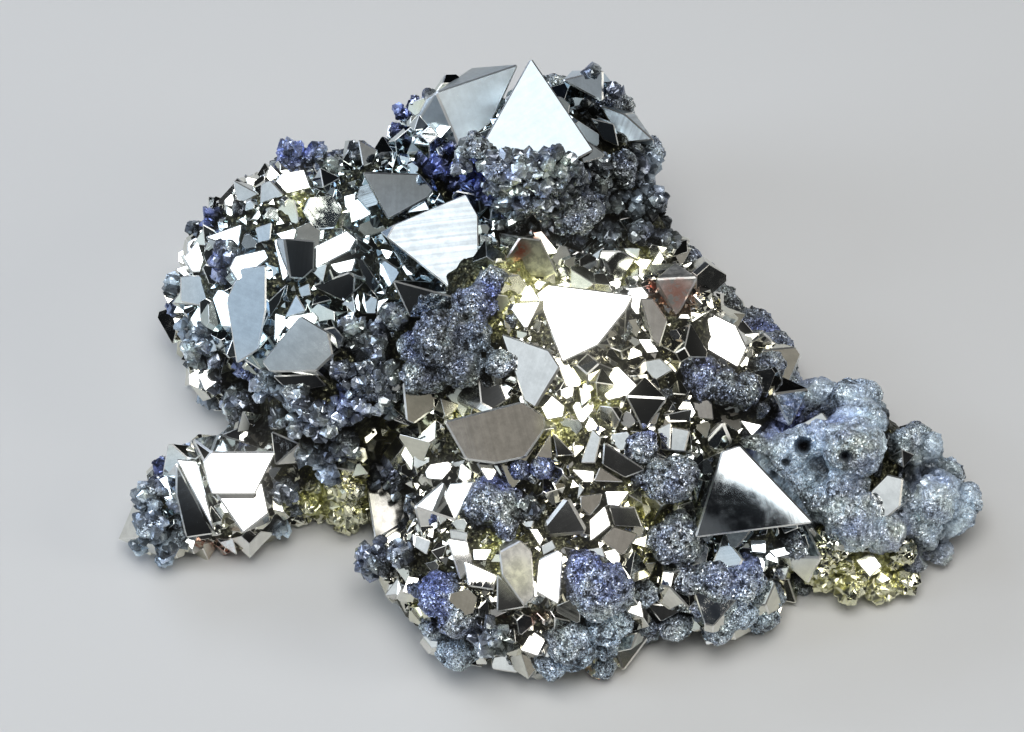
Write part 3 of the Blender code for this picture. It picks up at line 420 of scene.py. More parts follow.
# How large crystals differ from the usual look. Tone goes from pale to deep metal and is random
# unless it is given, shade is the share of light that a face gives back, lines are how strongly it
# is striated, haze makes it duller and mottle patchy. Grain is the pair of corners that the
# striations follow. Curvature is per millimetre, and a face falls away from the pixel of its crest:
# on all sides, or towards and away from the pixel of its fall
USUAL_LOOK = {"shade": 1.0, "lines": 0.08, "haze": 0.0, "mottle": 0.2}
USUAL_CURVATURE = 0.01
LOOKS = {
    "summit": {"tone": 0.0, "shade": 0.215, "curvature": 0.004, "mottle": 0.15},
    "back_left": {"haze": 0.42},
    "right_slab": {"haze": 0.3, "lines": 0.5},
    "shield": {
        "tone": 0.0, "shade": 0.25, "lines": 0.4, "haze": 0.12, "mottle": 0.4, "bevel": 0.07,
        "grain": (4, 2), "curvature": 0.022, "crest": (400, 250), "fall": (465, 238),
    },
    "shield_cap": {"shade": 0.5, "lines": 0.6},
    "slab": {"shade": 0.85},
    "great_white": {"mottle": 0.3},
    "great_triangle": {
        "curvature": 0.035, "crest": (748, 466), "fall": (722, 501), "shade": 0.42, "haze": 0.06,
    },
    "hollow_curved": {
        "curvature": 0.09, "crest": (382, 520), "fall": (412, 488), "shade": 0.3, "haze": 0.12,
        "mottle": 0.7,
    },
    "low_curved": {"curvature": 0.12, "haze": 0.15},
    "low_striped": {"curvature": 0.1, "lines": 0.8},
    "olive_tall": {"haze": 0.45, "mottle": 0.6},
    "window": {"bevel": 0.2},
    "stepped": {"lines": 0.15, "bevel": 0.14, "mottle": 0.3},
    "curved_grey": {"curvature": 0.02, "haze": 0.05, "shade": 0.75},
    "behind_triangle": {"bevel": 0.18},
    "foot_white_low": {"shade": 0.6},
    "amber": {"haze": 0.1, "mottle": 1.0, "shade": 0.8},
    "rusty": {"haze": 0.5, "mottle": 1.0},
}

# The nodules. Knobbly and golden groups are covered with angular pebbles, and the others are smooth
# eggs. Proud is how far a nodule's middle stands off the body, as a share of its radius. Lumps have
# a size and an amount, grain cells a size, a step and a tilt, and pits a pixel, a radius and a depth
NODULE_PROUD = 0.5
NODULE_DETAIL = 3
NODULE_GRAIN_MM = 0.17
KNOBBLY_CORE_SHARE = 0.62
SMOOTH, KNOBBLY, GOLDEN = "smooth", "knobbly", "golden"
NODULE_KINDS = {
    "collar": KNOBBLY, "top_right": KNOBBLY, "top_left": KNOBBLY, "left_bulge": KNOBBLY,
    "left_knobs": KNOBBLY, "left_foot": KNOBBLY, "golden_end": GOLDEN, "golden_knob": GOLDEN,
    "foot_bridge": GOLDEN,
}
PEBBLES_PER_SQUARE_MM = {KNOBBLY: 1.5, GOLDEN: 4.0}
PEBBLE_MM = (0.35, 0.75)
LARGEST_PEBBLE_MM = 1.45
PEBBLE_CORNERS = 14
PEBBLE_CORNER_REACH = (0.75, 1.0)
PEBBLE_SEAT_SHARE = 0.6
PEBBLE_SHAPES = 12
PEBBLE_SEED = 7
NODULE_LUMPS_MM = ((2.6, 0.6), (1.1, 0.32), (0.5, 0.1))
GRAIN_CELLS_MM = ((1.1, 0.08, 0.3), (0.4, 0.05, 0.45))
PITS = [((803, 446), 0.62, 2.2), ((845, 456), 0.4, 1.4), ((786, 462), 0.3, 1.0)]
NODULE_PIECES = 3
# Heights off the body over which the painted shade between the nodules fades out
GAP_SHADE_HEIGHTS_MM = (0.0, 1.1)

# Scattered growth that the solid has too. Reaches are how far it may stand out, tried in this
# order until one stays within the outline, and a patch is either all nodules or all crystals
SCATTER_SEED = 11
SCATTER_TRIES = 5000
SCATTER_SPACING_MM = 2.65
SCATTER_LOWEST_MM = 1.0
SCATTER_REACHES_MM = (2.2, 1.6, 1.1, 0.8)
SMALL_CRYSTAL_MM = (0.9, 2.3)
SMALL_NODULE_MM = (1.0, 1.9)
SMALL_PROUD = 0.25
SCATTERED_KNOBBLY_LEFT_OF_MM = 0.0
SMALL_BEVEL_SHARE = 0.05
PATCH_SIZE_MM = 7.0
CLEAR_MARGIN_PX = 12.0
HIDDEN_BEHIND_MM = 0.5
BURIED_SHARE = 0.99

# The rock between. Roughness has sizes and amounts of noise
ROCK_GRAIN_MM = 0.36
ROCK_INSET_MM = 0.3
ROCK_ROUGHNESS_MM = ((2.4, 0.34), (0.9, 0.13), (0.4, 0.08))
BOULDER_DETAIL = 5
HOLLOW_DEPTH_PER_RADIUS = 1.0
HOLLOW_REACH_PER_RADIUS = 2.0

# The crust of small crystals, from coarse to fine. Spacing is the least distance between two of a
# layer, tries are the places that are looked at, and margin is how far a crystal keeps off the
# large faces, as a share of its size. A layer without a bevel has plain octahedra
CRUST = {
    "coarse_crust": {"size": (1.1, 2.0), "spacing": 1.7, "tries": 14000, "bevel": 0.05, "margin": 0.85},
    "middle_crust": {"size": (0.5, 0.95), "spacing": 1.05, "tries": 26000, "bevel": 0.06, "margin": 0.7},
    "fine_crust": {"size": (0.25, 0.5), "spacing": 0.5, "tries": 50000, "bevel": 0.0, "margin": 0.25},
}
CRUST_SEED = 23
CRUST_SHAPES = 16
CRUST_PROUD = (-0.25, 0.35)
CRUST_LOWEST_MM = 0.2
CRUST_NODULE_GAP_MM = 0.05
CRUST_OVERLAP = 0.7
CRUST_OUTLINE_SHARE = 0.6
GUARD_DEPTH_SHARE = 1.7
GUARD_REACH_PX = 90.0

# The share of the crust's crystals that turn a face in each usual way, and how many degrees they vary
CRUST_TURNS = {BRIGHT: 0.16, LIGHT: 0.15, DIM: 0.12}
CRUST_TURN_VARIES = 4.0
OCTAHEDRON_FACE = Vector((1.0, 1.0, 1.0)).normalized()

# How a small crystal is cut from a block: distances are from its middle, for a size of 1
UNCUT_BLOCK = 6.0
FACE_DISTANCES = (0.6, 0.95)
FLAT_CRYSTAL_SHARE = 0.45
FLAT_FACE_DISTANCES = (0.2, 0.36)
CORNER_DISTANCES = (0.9, 1.5)
OCTAHEDRON_STRETCH = (0.35, 1.0)

# Where the look changes: the pixel of each spot and its reach. Metal is golden green, rusty or
# cool; dark mineral is blue, paler with frost that also stands in for painted highlights, or calm
# where its grains hardly show; painted shade in the hollows darkens both. A zone is at full
# strength near its spots and fades out towards their reach
ZONE_STRENGTH = 1.5
ZONES = {
    "gold": [
        ((540, 270), 4.5), ((500, 300), 3.0), ((592, 300), 2.6), ((402, 440), 3.0), ((378, 460), 2.4),
        ((325, 500), 4.0), ((345, 520), 3.6), ((655, 500), 3.0), ((660, 550), 3.4), ((600, 390), 2.2),
        ((555, 425), 2.0), ((500, 540), 1.8), ((870, 585), 5.0), ((832, 582), 5.0), ((905, 560), 2.4),
        ((604, 678), 3.6), ((425, 610), 1.6), ((640, 270), 2.2), ((210, 470), 1.5), ((238, 520), 1.6),
        ((460, 410), 1.6), ((440, 100), 1.6), ((300, 200), 1.6), ((340, 215), 1.4), ((515, 575), 2.0),
        ((690, 280), 1.8), ((800, 590), 1.8),
    ],
    "rust": [
        ((540, 240), 1.2), ((676, 290), 2.0), ((505, 212), 1.1), ((228, 548), 1.8), ((604, 690), 2.4),
        ((537, 620), 0.7), ((500, 618), 0.6), ((650, 395), 0.7), ((520, 250), 0.9), ((655, 285), 1.2),
        ((298, 268), 0.5),
    ],
    "cool": [
        ((250, 290), 10.0), ((425, 240), 14.0), ((540, 110), 16.0), ((755, 500), 7.0),
        ((600, 660), 4.0), ((180, 500), 4.0),
    ],
    "hollow_shade": [
        ((425, 300), 2.2), ((292, 386), 1.8), ((372, 455), 1.8), ((480, 395), 2.4), ((335, 512), 1.0),
        ((640, 378), 1.6), ((735, 395), 1.6), ((603, 125), 3.2), ((445, 475), 1.8), ((405, 345), 1.4),
        ((300, 480), 1.4), ((430, 385), 2.0), ((680, 395), 1.2), ((650, 612), 1.2), ((325, 262), 0.9),
        ((255, 430), 2.6), ((398, 425), 1.6), ((480, 375), 1.6), ((790, 540), 1.4), ((530, 235), 1.4),
        ((450, 352), 4.2), ((735, 400), 3.0),
    ],
    "blue": [
        ((472, 160), 5.6), ((494, 470), 3.0), ((545, 466), 2.0), ((600, 568), 3.6), ((438, 592), 3.0),
        ((291, 152), 2.6), ((212, 225), 2.4), ((225, 262), 2.0), ((250, 368), 2.4), ((365, 328), 3.2),
        ((790, 432), 4.0), ((830, 430), 3.0), ((700, 378), 2.6), ((760, 345), 3.2), ((850, 400), 2.6),
        ((735, 575), 3.0), ((155, 475), 2.6), ((172, 300), 2.0), ((200, 350), 2.0), ((432, 168), 2.4),
        ((402, 112), 2.4), ((340, 405), 2.0), ((935, 490), 2.4), ((500, 165), 2.2), ((530, 152), 1.6),
        ((425, 340), 2.0), ((490, 300), 2.2), ((640, 436), 2.0), ((480, 140), 4.8),
    ],
    "frost_and_highlight": [
        ((605, 620), 4.8), ((577, 655), 4.4), ((549, 668), 4.0), ((850, 400), 4.6), ((925, 450), 4.8),
        ((945, 500), 4.6), ((190, 330), 4.0), ((180, 270), 4.0), ((745, 605), 4.0), ((810, 465), 4.4),
        ((600, 240), 2.4), ((650, 170), 3.0), ((285, 390), 2.4), ((392, 404), 2.6), ((870, 440), 4.0),
        ((145, 530), 4.0), ((172, 552), 3.4), ((285, 525), 2.4), ((200, 380), 4.0), ((320, 472), 2.6),
        ((570, 150), 1.6), ((630, 205), 2.6), ((452, 645), 4.0), ((690, 630), 3.0), ((740, 625), 3.4),
        ((480, 350), 2.2), ((850, 520), 3.4),
    ],
    "calm": [
        ((795, 450), 4.0), ((850, 445), 4.5), ((850, 520), 4.0), ((820, 395), 4.0), ((870, 415), 3.0),
        ((930, 480), 5.0), ((940, 530), 4.0), ((885, 535), 3.0),
    ],
}

# The looks. Scales are per millimetre. A range is the part of a texture's values that is used, and
# shares are what its two ends become. Colours over 1 are multiplied by darker ones
WHITE = (1.0, 1.0, 1.0)

# Pyrite: its own metal, from smooth to rough and with or without painted shade in the hollows,
# and what is mixed into it
PYRITE_LOOKS = {
    "pyrite_faces": {
        "pale": (0.87, 0.86, 0.82), "deep": (0.72, 0.70, 0.64), "smooth": 0.03, "rough": 0.12,
        "hollow_shading": 0.0,
    },
    "pyrite_crust": {
        "pale": (0.88, 0.87, 0.82), "deep": (0.74, 0.73, 0.62), "smooth": 0.04, "rough": 0.16,
        "hollow_shading": 1.0,
    },
}
COOL_TINT = (0.78, 0.91, 1.06)
GOLDEN_METAL = (0.95, 0.94, 0.68)
RUSTY_METAL = (0.42, 0.14, 0.08)
# The share of the metal's colour that is left where the painted shade in the hollows is deepest
HOLLOW_SHADE_METAL = 0.1
CLOUDS_PER_MM, CLOUD_DETAIL, CLOUD_ROUGHNESS = 1.3, 6.0, 0.7
MOTTLE_RANGE = (0.6, 0.4)
MOTTLE_DARKEST = 0.45
STAIN_RANGE = (0.42, 0.5)
DULL_RANGE = (0.45, 0.75)
GOLD_HAZE = 0.25
STRIATIONS_PER_MM, STRIATION_DETAIL = 3.0, 4.0
STRIATION_RANGE = (0.35, 0.65)
STREAK_DARKEST = 0.4
GROOVE_STRENGTH = 0.4
GROOVE_DEPTH_MM = 0.015
SPECKS_PER_MM = 2.6
SPECK_SHARES, SPECK_RADII = (0.8, 0.0), (0.03, 0.08)
SPECK_COLOUR = (0.9, 0.9, 0.86)
EDGE_SHARE = 0.8
EDGE_COLOUR = (0.95, 0.94, 0.9)
EDGE_ROUGHNESS = 0.38

# The dark mineral
PATCHES_PER_MM, PATCH_DETAIL = 0.5, 4.0
MINERAL_COLOURS = [
    (0.36, (0.42, 0.47, 0.61)), (0.5, (0.55, 0.60, 0.66)), (0.66, (0.72, 0.79, 0.75)),
]
BLUE_MINERAL = (0.32, 0.40, 0.95)
BLUE_SHARES, BLUE_RANGE = (1.0, 0.6), (0.35, 0.65)
# Frosty mineral: a paler skin that partly stands in for painted highlights
FROSTED_HIGHLIGHT_MINERAL = (0.74, 0.90, 1.04)
FROST_HIGHLIGHT_SHARE = 0.75
# Painted shade: how dark the gaps between nodules and the hollows become
GAP_SHADE_DARKEST = 0.08
HOLLOW_SHADE_MINERAL = 0.3
CALM_METAL = (0.7, 0.35)
FROST_METAL = (1.0, 0.4)
MINERAL_GRAINS_PER_MM = (7.0, 13.0)
GRAIN_GREYS = [(0.2, 0.15), (0.6, 1.0), (0.9, 2.2)]
GRAIN_ROUGHNESS = (0.16, 0.5)
CALM_LIVELINESS = 0.15
CRACKS_PER_MM, CRACK_DETAIL = 1.7, 5.0
CRACK_GREYS = [(0.38, 0.1), (0.48, 1.0)]
CRACK_SHARES = (0.3, 0.9)
LEANS_PER_MM = 0.9
LEAN_SHARES, LEAN_RANGE = (0.5, 1.15), (0.35, 0.65)
# Painted shade in the pits
PIT_SHADE_COLOUR = (0.005, 0.005, 0.008)

# Its angular pebbles
PEBBLE_GREYS = [(0.0, 0.15), (0.6, 0.75), (1.0, 1.5)]
PEBBLE_HAZE_PER_MM, PEBBLE_HAZE_DETAIL = 3.0, 4.0
PEBBLE_ROUGHNESS, PEBBLE_HAZE_RANGE = (0.1, 0.35), (0.35, 0.65)
PEBBLE_FACETS_PER_MM = (2.2,)
PEBBLE_LEAN = 0.3

# The rock between
ROCK_NOISE_PER_MM, ROCK_NOISE_DETAIL, ROCK_NOISE_ROUGHNESS = 3.0, 6.0, 0.7
ROCK_COLOURS = [
    (0.38, (0.015, 0.015, 0.012)), (0.56, (0.09, 0.09, 0.055)), (0.72, (0.42, 0.42, 0.30)),
]
GOLDEN_ROCK_COLOURS = [
    (0.32, (0.10, 0.10, 0.03)), (0.52, (0.60, 0.60, 0.26)), (0.7, (1.0, 1.0, 0.68)),
]
RUSTY_ROCK = (0.20, 0.06, 0.03)
# Painted shade in the hollows
HOLLOW_SHADE_ROCK = (0.01, 0.01, 0.008)
ROCK_METAL = 0.85
ROCK_SHINE = (0.5, 0.28)
ROCK_GRAINS_PER_MM = (3.5, 8.0)
ROCK_LEAN = 0.8

# The colour sockets of Blender's mix node, which share their names with its other sockets
MIX_FIRST, MIX_SECOND, MIX_RESULT = 6, 7, 2

# The floor, the camera's reach in metres, and the room, which is lighter overhead
FLOOR_WIDTH = 3.0
FLOOR_COLOUR = (0.66, 0.66, 0.65)
FLOOR_ROUGHNESS = 0.8
CLIP_DISTANCES = (0.01, 10.0)
ROOM_PATCHES, ROOM_DETAIL = 3.0, 1.0
ROOM_STOPS = [(0.42, (0.01, 0.012, 0.018)), (0.54, (0.06, 0.07, 0.09)), (0.72, (0.4, 0.41, 0.43))]
ROOM_LOWEST_SHARE = 0.12
ROOM_DARK_BELOW, ROOM_LIGHT_ABOVE = 0.55, 0.9

# The glow in the picture: the brightness that it starts at, its strength and its size
GLOW_ABOVE, GLOW_STRENGTH, GLOW_SIZE = 1.0, 0.12, 0.35

# The soft boxes. A turn is in degrees to the right of and above the eye, sizes and distances are
# in metres, and a radiance of 1 shows as white
LIGHTS = {
    "key": {
        "turn": (0.0, 24.0), "distance": 0.42, "size": (0.26, 0.22), "radiance": 5.6,
        "colour": (1.0, 0.99, 0.97),
    },
    "left_fill": {
        "turn": (-30.0, 8.0), "distance": 0.45, "size": (0.15, 0.2), "radiance": 0.7,
        "colour": (0.84, 0.92, 1.0),
    },
    "right_fill": {
        "turn": (27.0, 6.0), "distance": 0.45, "size": (0.14, 0.2), "radiance": 0.28,
        "colour": (1.0, 0.95, 0.88),
    },
    "front": {
        "turn": (0.0, -11.0), "distance": 0.5, "size": (0.36, 0.18), "radiance": 0.3,
        "colour": (0.95, 0.97, 1.0),
    },
    "back": {
        "turn": (-35.0, 78.0), "distance": 0.5, "size": (0.3, 0.16), "radiance": 3.2,
        "colour": (0.72, 0.82, 1.0),
    },
    "left_side": {
        "turn": (-62.0, 15.0), "distance": 0.5, "size": (0.14, 0.34), "radiance": 4.2,
        "colour": (0.75, 0.85, 1.0),
    },
    "right_side": {
        "turn": (60.0, 12.0), "distance": 0.5, "size": (0.12, 0.28), "radiance": 3.0,
        "colour": (1.0, 0.97, 0.9),
    },
}


def sight_line(pixel):
    """The direction from the eye through a pixel of the photograph."""
    across = (pixel[0] - PICTURE_CENTRE_PX[0]) / PX_PER_MM
    up = (PICTURE_CENTRE_PX[1] - pixel[1]) / PX_PER_MM
    seen = VIEW_TARGET_MM + VIEW_RIGHT * across + VIEW_UP * up
    return (seen - EYE).normalized()


def pixel_of(point):
    """The pixel of the photograph at which a point is seen."""
    offset = point - EYE
    scale = VIEW_DISTANCE_MM / offset.dot(-TOWARDS_EYE) * PX_PER_MM
    across = offset.dot(VIEW_RIGHT) * scale
    up = offset.dot(VIEW_UP) * scale
    return (PICTURE_CENTRE_PX[0] + across, PICTURE_CENTRE_PX[1] - up)


def place_boulders():
    """Each boulder's centre and radii in millimetres, from its pixel and its height."""
    placed = []
    for pixel, height, radii in BOULDERS.values():
        view = sight_line(pixel)
        reach = (height - EYE.z) / view.z
        placed.append((EYE + view * reach, Vector(radii)))
    return placed


def squeezed(vector, radii):
    """A vector in the space where a boulder is a ball of radius 1."""
    return Vector((vector.x / radii.x, vector.y / radii.y, vector.z / radii.z))


def surface_point(view, boulders):
    """Where a sight line first meets the boulders, or where it passes them closest."""
    nearest_hit = None
    closest_pass = None
    smallest_gap = None
    for centre, radii in boulders:
        start = squeezed(EYE - centre, radii)
        step = squeezed(view, radii)
        along = start.dot(step) / step.length_squared
        gap = start.length_squared - 1.0 - along * along * step.length_squared
        if gap < 0.0:
            reach = -along - math.sqrt(-gap / step.length_squared)
            if nearest_hit is None or reach < nearest_hit:
                nearest_hit = reach
        elif smallest_gap is None or gap < smallest_gap:
            smallest_gap = gap
            closest_pass = -along
    reach = closest_pass if nearest_hit is None else nearest_hit
    return EYE + view * reach


def turned(towards, turn):
    """The direction towards the eye, turned to the right and upwards by some degrees."""
    right = math.tan(math.radians(turn[0]))
    up = math.tan(math.radians(turn[1]))
    return (towards + VIEW_RIGHT * right + VIEW_UP * up).normalized()


def on_plane(pixel, point, normal):
    """Where the sight line through a pixel crosses a plane."""
    view = sight_line(pixel)
    reach = (point - EYE).dot(normal) / view.dot(normal)
    return EYE + view * reach


def mean_of(points):
    """The middle of some points."""
    total = Vector((0.0, 0.0, 0.0))
    for point in points:
        total += point
    return total / len(points)


def middle_pixel(pixels):
    """The middle of some pixels."""
    return (
        sum(pixel[0] for pixel in pixels) / len(pixels),
        sum(pixel[1] for pixel in pixels) / len(pixels),
    )


def polygon_area(corners):
    """The area of a flat polygon with its corners in order."""
    total = Vector((0.0, 0.0, 0.0))
    for here, following in zip(corners, corners[1:] + corners[:1]):
        total += here.cross(following)
    return total.length / 2.0


def random_direction(rng):
    """A direction picked evenly over the sphere."""
    height = rng.uniform(-1.0, 1.0)
    turn = rng.uniform(0.0, 2.0 * math.pi)
    flat = math.sqrt(1.0 - height * height)
    return Vector((flat * math.cos(turn), flat * math.sin(turn), height))


def random_turn(rng):
    """A turn by a random angle about a random direction."""
    return Matrix.Rotation(rng.uniform(0.0, 2.0 * math.pi), 3, random_direction(rng))


def nodule_places(boulders):
    """Each nodule that the photograph shows: its middle, radius, outward direction and kind."""
    places = []
    for group, balls in NODULES.items():
        for pixel, radius in balls:
            view = sight_line(pixel)
            middle = surface_point(view, boulders) - view * radius * NODULE_PROUD
            places.append((middle, radius, -view, NODULE_KINDS.get(group, SMOOTH)))
    anchor, normal = crystal_frame("summit", boulders)[:2]
    for pixel, radius, share in HEAPED_NODULES:
        view = sight_line(pixel)
        foot = surface_point(view, boulders)
        top = on_plane(pixel, anchor, normal) - view * HEAP_FORWARD_MM
        places.append((foot.lerp(top, share), radius, -view, KNOBBLY))
    return places


def is_clear(point, boulders):
    """Whether a point is out of sight, or seen away from all that is placed by pixels."""
    seen = surface_point((point - EYE).normalized(), boulders)
    if (seen - point).length > HIDDEN_BEHIND_MM:
        return True
    across, down = pixel_of(point)
    for turn, corners in CRYSTALS.values():
        left = min(corner[0] for corner in corners) - CLEAR_MARGIN_PX
        right = max(corner[0] for corner in corners) + CLEAR_MARGIN_PX
        top = min(corner[1] for corner in corners) - CLEAR_MARGIN_PX
        bottom = max(corner[1] for corner in corners) + CLEAR_MARGIN_PX
        if left < across < right and top < down < bottom:
            return False
    balls = list(HOLLOWS.values())
    for group in NODULES.values():
        balls += group
    for pixel, radius in balls:
        if math.hypot(pixel[0] - across, pixel[1] - down) < radius * PX_PER_MM:
            return False
    return True


def is_inside(pixel, corners):
    """Whether a pixel lies within a polygon of pixels."""
    across, down = pixel
    crossings = 0
    for (x0, y0), (x1, y1) in zip(corners, corners[1:] + corners[:1]):
        if (y0 > down) != (y1 > down):
            edge = x0 + (down - y0) * (x1 - x0) / (y1 - y0)
            crossings += across < edge
    return crossings % 2 == 1


def room_within_outline(point, outward):
    """How far growth can stand out from a point before it shows beyond the specimen's outline."""
    for reach in SCATTER_REACHES_MM:
        if is_inside(pixel_of(point + outward * reach), OUTLINE_PX):
            return reach
    return 0.0


def scattered_places(boulders):
    """Points spread over the bare outside of the body, each with its outward direction and its room."""
    rng = random.Random(SCATTER_SEED)
    weights = [size.x * size.y + size.y * size.z + size.z * size.x for middle, size in boulders]
    places = []
    for attempt in range(SCATTER_TRIES):
        centre, radii = rng.choices(boulders, weights)[0]
        out = random_direction(rng)
        point = centre + Vector((out.x * radii.x, out.y * radii.y, out.z * radii.z))
        if point.z < SCATTER_LOWEST_MM:
            continue
        if any(squeezed(point - middle, size).length < BURIED_SHARE for middle, size in boulders):
            continue
        if any((point - place[0]).length < SCATTER_SPACING_MM for place in places):
            continue
        outward = squeezed(out, radii).normalized()
        room = room_within_outline(point, outward)
        if room > 0.0 and is_clear(point, boulders):
            places.append((point, outward, room))
    return places


def scattered_growth(boulders):
    """The scattered nodules and crystals that the solid has too."""
    rng = random.Random(SCATTER_SEED)
    nodules = []
    crystals = []
    for point, out, room in scattered_places(boulders):
        if noise.noise(point / PATCH_SIZE_MM) > 0.0:
            radius = min(rng.uniform(*SMALL_NODULE_MM), room)
            kind = KNOBBLY if point.x < SCATTERED_KNOBBLY_LEFT_OF_MM else SMOOTH
            nodules.append((point + out * radius * NODULE_PROUD, radius, out, kind))
        else:
            size = min(rng.uniform(*SMALL_CRYSTAL_MM), room)
            turn = random_turn(rng)
            crystals.append((point + out * size * SMALL_PROUD, size, turn))
    return nodules, crystals


def mesh_from(name, shell):
    """Turn a bmesh into a mesh."""
    mesh = bpy.data.meshes.new(name)
    shell.to_mesh(mesh)
    shell.free()
    return mesh


def add_object(name, data):
    """A new object in the scene."""
    thing = bpy.data.objects.new(name, data)
    bpy.context.collection.objects.link(thing)
    return thing


def evaluated(mesh, *changes):
    """A mesh with some modifiers applied, each given as its type and its settings."""
    thing = add_object("work", mesh)
    for kind, settings in changes:
        modifier = thing.modifiers.new("change", kind)
        for setting, value in settings.items():
            setattr(modifier, setting, value)
    graph = bpy.context.evaluated_depsgraph_get()
    made = bpy.data.meshes.new_from_object(thing.evaluated_get(graph))
    bpy.data.objects.remove(thing, do_unlink=True)
    return made


def keep_largest_shell(mesh):
    """Drop closed pockets and loose crumbs, so that one connected skin is left."""
    skin = bmesh.new()
    skin.from_mesh(mesh)
    unvisited = set(skin.verts)
    shells = []
    while unvisited:
        shell = [unvisited.pop()]
        for vertex in shell:
            for edge in vertex.link_edges:
                neighbour = edge.other_vert(vertex)
                if neighbour in unvisited:
                    unvisited.remove(neighbour)
                    shell.append(neighbour)
        shells.append(shell)
    shells.sort(key=len)
    for shell in shells[:-1]:
        bmesh.ops.delete(skin, geom=shell, context="VERTS")
    skin.to_mesh(mesh)
    skin.free()


def points_of(mesh):
    """A mesh's points as an array."""
    points = np.zeros(len(mesh.vertices) * 3)
    mesh.vertices.foreach_get("co", points)
    return points.reshape(-1, 3)


def set_points(mesh, points):
    """Move a mesh's points to the places in an array."""
    mesh.vertices.foreach_set("co", np.asarray(points, dtype=np.float32).ravel())
    mesh.update()


def become_piece(name, mesh, material):
    """Bring a mesh into the model's frame, flat on the floor, as a piece of the specimen."""
    mesh.transform(TO_MODEL_FRAME)
    points = points_of(mesh)
    points[:, 2] = np.clip(points[:, 2], 0.0, None)
    set_points(mesh, points)
    mesh.name = name
    mesh.materials.clear()
    mesh.materials.append(material)
    piece = add_object(name, mesh)
    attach(piece, "root")
    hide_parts("pyrite_cluster")


def carve_hollows(mesh, boulders):
    """Press a rounded dent into the rock at each hollow, away from the eye."""
    for pixel, radius in HOLLOWS.values():
        view = sight_line(pixel)
        middle = surface_point(view, boulders)
        for vertex in mesh.vertices:
            offset = vertex.co - middle
            along = offset.dot(view)
            aside = (offset - view * along).length
            if aside < radius and abs(along) < HOLLOW_REACH_PER_RADIUS * radius:
                depth = HOLLOW_DEPTH_PER_RADIUS * radius * (1.0 - (aside / radius) ** 2)
                vertex.co += view * depth


def move_along_normals(mesh, move_at, layers):
    """Move each point of a skin along its normal, as far as a function gives for its place."""
    moves = [vertex.normal * move_at(vertex.co, layers) for vertex in mesh.vertices]
    for vertex, move in zip(mesh.vertices, moves):
        vertex.co += move


def noise_move(place, layers):
    """How far out noise moves a place; each layer has a size and an amount."""
    move = 0.0
    for size, amount in layers:
        move += noise.noise(place / size) * amount
    return move


def grain_move(place, layers):
    """How far out small flat grains move a place; each grain stands and leans in its own way."""
    move = 0.0
    for size, step, tilt in layers:
        middle = noise.voronoi(place / size)[1][0]
        lean = noise.cell_vector(middle) - Vector((0.5, 0.5, 0.5))
        offset = place - middle * size
        move += lean.x * 2.0 * step + offset.dot(lean) * tilt
    return move


def rock_mesh(boulders):
    """The rough body that the crystals and nodules grow from."""
    shell = bmesh.new()
    for centre, radii in boulders:
        inset = radii - Vector((ROCK_INSET_MM, ROCK_INSET_MM, ROCK_INSET_MM))
        place = Matrix.Translation(centre) @ Matrix.Diagonal((*inset, 1.0))
        bmesh.ops.create_icosphere(shell, subdivisions=BOULDER_DETAIL, radius=1.0, matrix=place)
    merge = ("REMESH", {"mode": "VOXEL", "voxel_size": ROCK_GRAIN_MM})
    mesh = evaluated(mesh_from("boulders", shell), merge)
    carve_hollows(mesh, boulders)
    move_along_normals(mesh, noise_move, ROCK_ROUGHNESS_MM)
    keep_largest_shell(mesh)
    return mesh


def many(name, shapes, places):
    """One mesh of many shapes: each place has a shape's number, a middle, a size, a turn and a tone."""
    parts = []
    for number, (corners, faces, edges) in enumerate(shapes):
        chosen = [place for place in places if place[0] == number]
        if not chosen:
            continue
        middles = np.array([place[1] for place in chosen])
        sizes = np.array([place[2] for place in chosen])
        turns = np.array([[list(row) for row in place[3]] for place in chosen])
        points = np.einsum("nij,kj->nki", turns, corners) * sizes[:, None, None] + middles[:, None, :]
        starts = np.arange(len(chosen)) * len(corners)
        parts.append({
            "points": points.reshape(-1, 3),
            "triangles": (faces[None, :, :] + starts[:, None, None]).reshape(-1, 3),
            "edge": np.tile(edges, len(chosen)),
            "tone": np.repeat([place[4] for place in chosen], len(corners)),
            "grain": np.repeat(turns[:, :, 0], len(corners), axis=0),
        })
    return gathered(name, parts)


def gathered(name, parts):
    """One mesh of some parts; all that is not a point or a triangle is kept for the material."""
    count = 0
    for part in parts:
        part["triangles"] = part["triangles"] + count
        count += len(part["points"])
    joined = {key: np.concatenate([part[key] for part in parts]) for key in parts[0]}
    mesh = triangle_mesh(name, joined.pop("points"), joined.pop("triangles"))
    for key, values in joined.items():
        store(mesh, key, values)
    return mesh


def triangle_mesh(name, points, triangles):
    """A mesh of triangles, from arrays."""
    mesh = bpy.data.meshes.new(name)
    mesh.vertices.add(len(points))
    mesh.vertices.foreach_set("co", points.astype(np.float32).ravel())
    mesh.loops.add(triangles.size)
    mesh.loops.foreach_set("vertex_index", triangles.astype(np.int32).ravel())
    mesh.polygons.add(len(triangles))
    mesh.polygons.foreach_set("loop_start", np.arange(0, triangles.size, 3, dtype=np.int32))
    mesh.update(calc_edges=True)
    mesh.validate()
    mesh.shade_flat()
    return mesh


def store(mesh, name, values):
    """Keep a number or a vector for each point or face of a mesh, for its material to read."""
    kind = "FLOAT" if values.ndim == 1 else "FLOAT_VECTOR"
    domain = "POINT" if len(values) == len(mesh.vertices) else "FACE"
    attribute = mesh.attributes.new(name, kind, domain)
    field = "value" if kind == "FLOAT" else "vector"
    attribute.data.foreach_set(field, values.astype(np.float32).ravel())


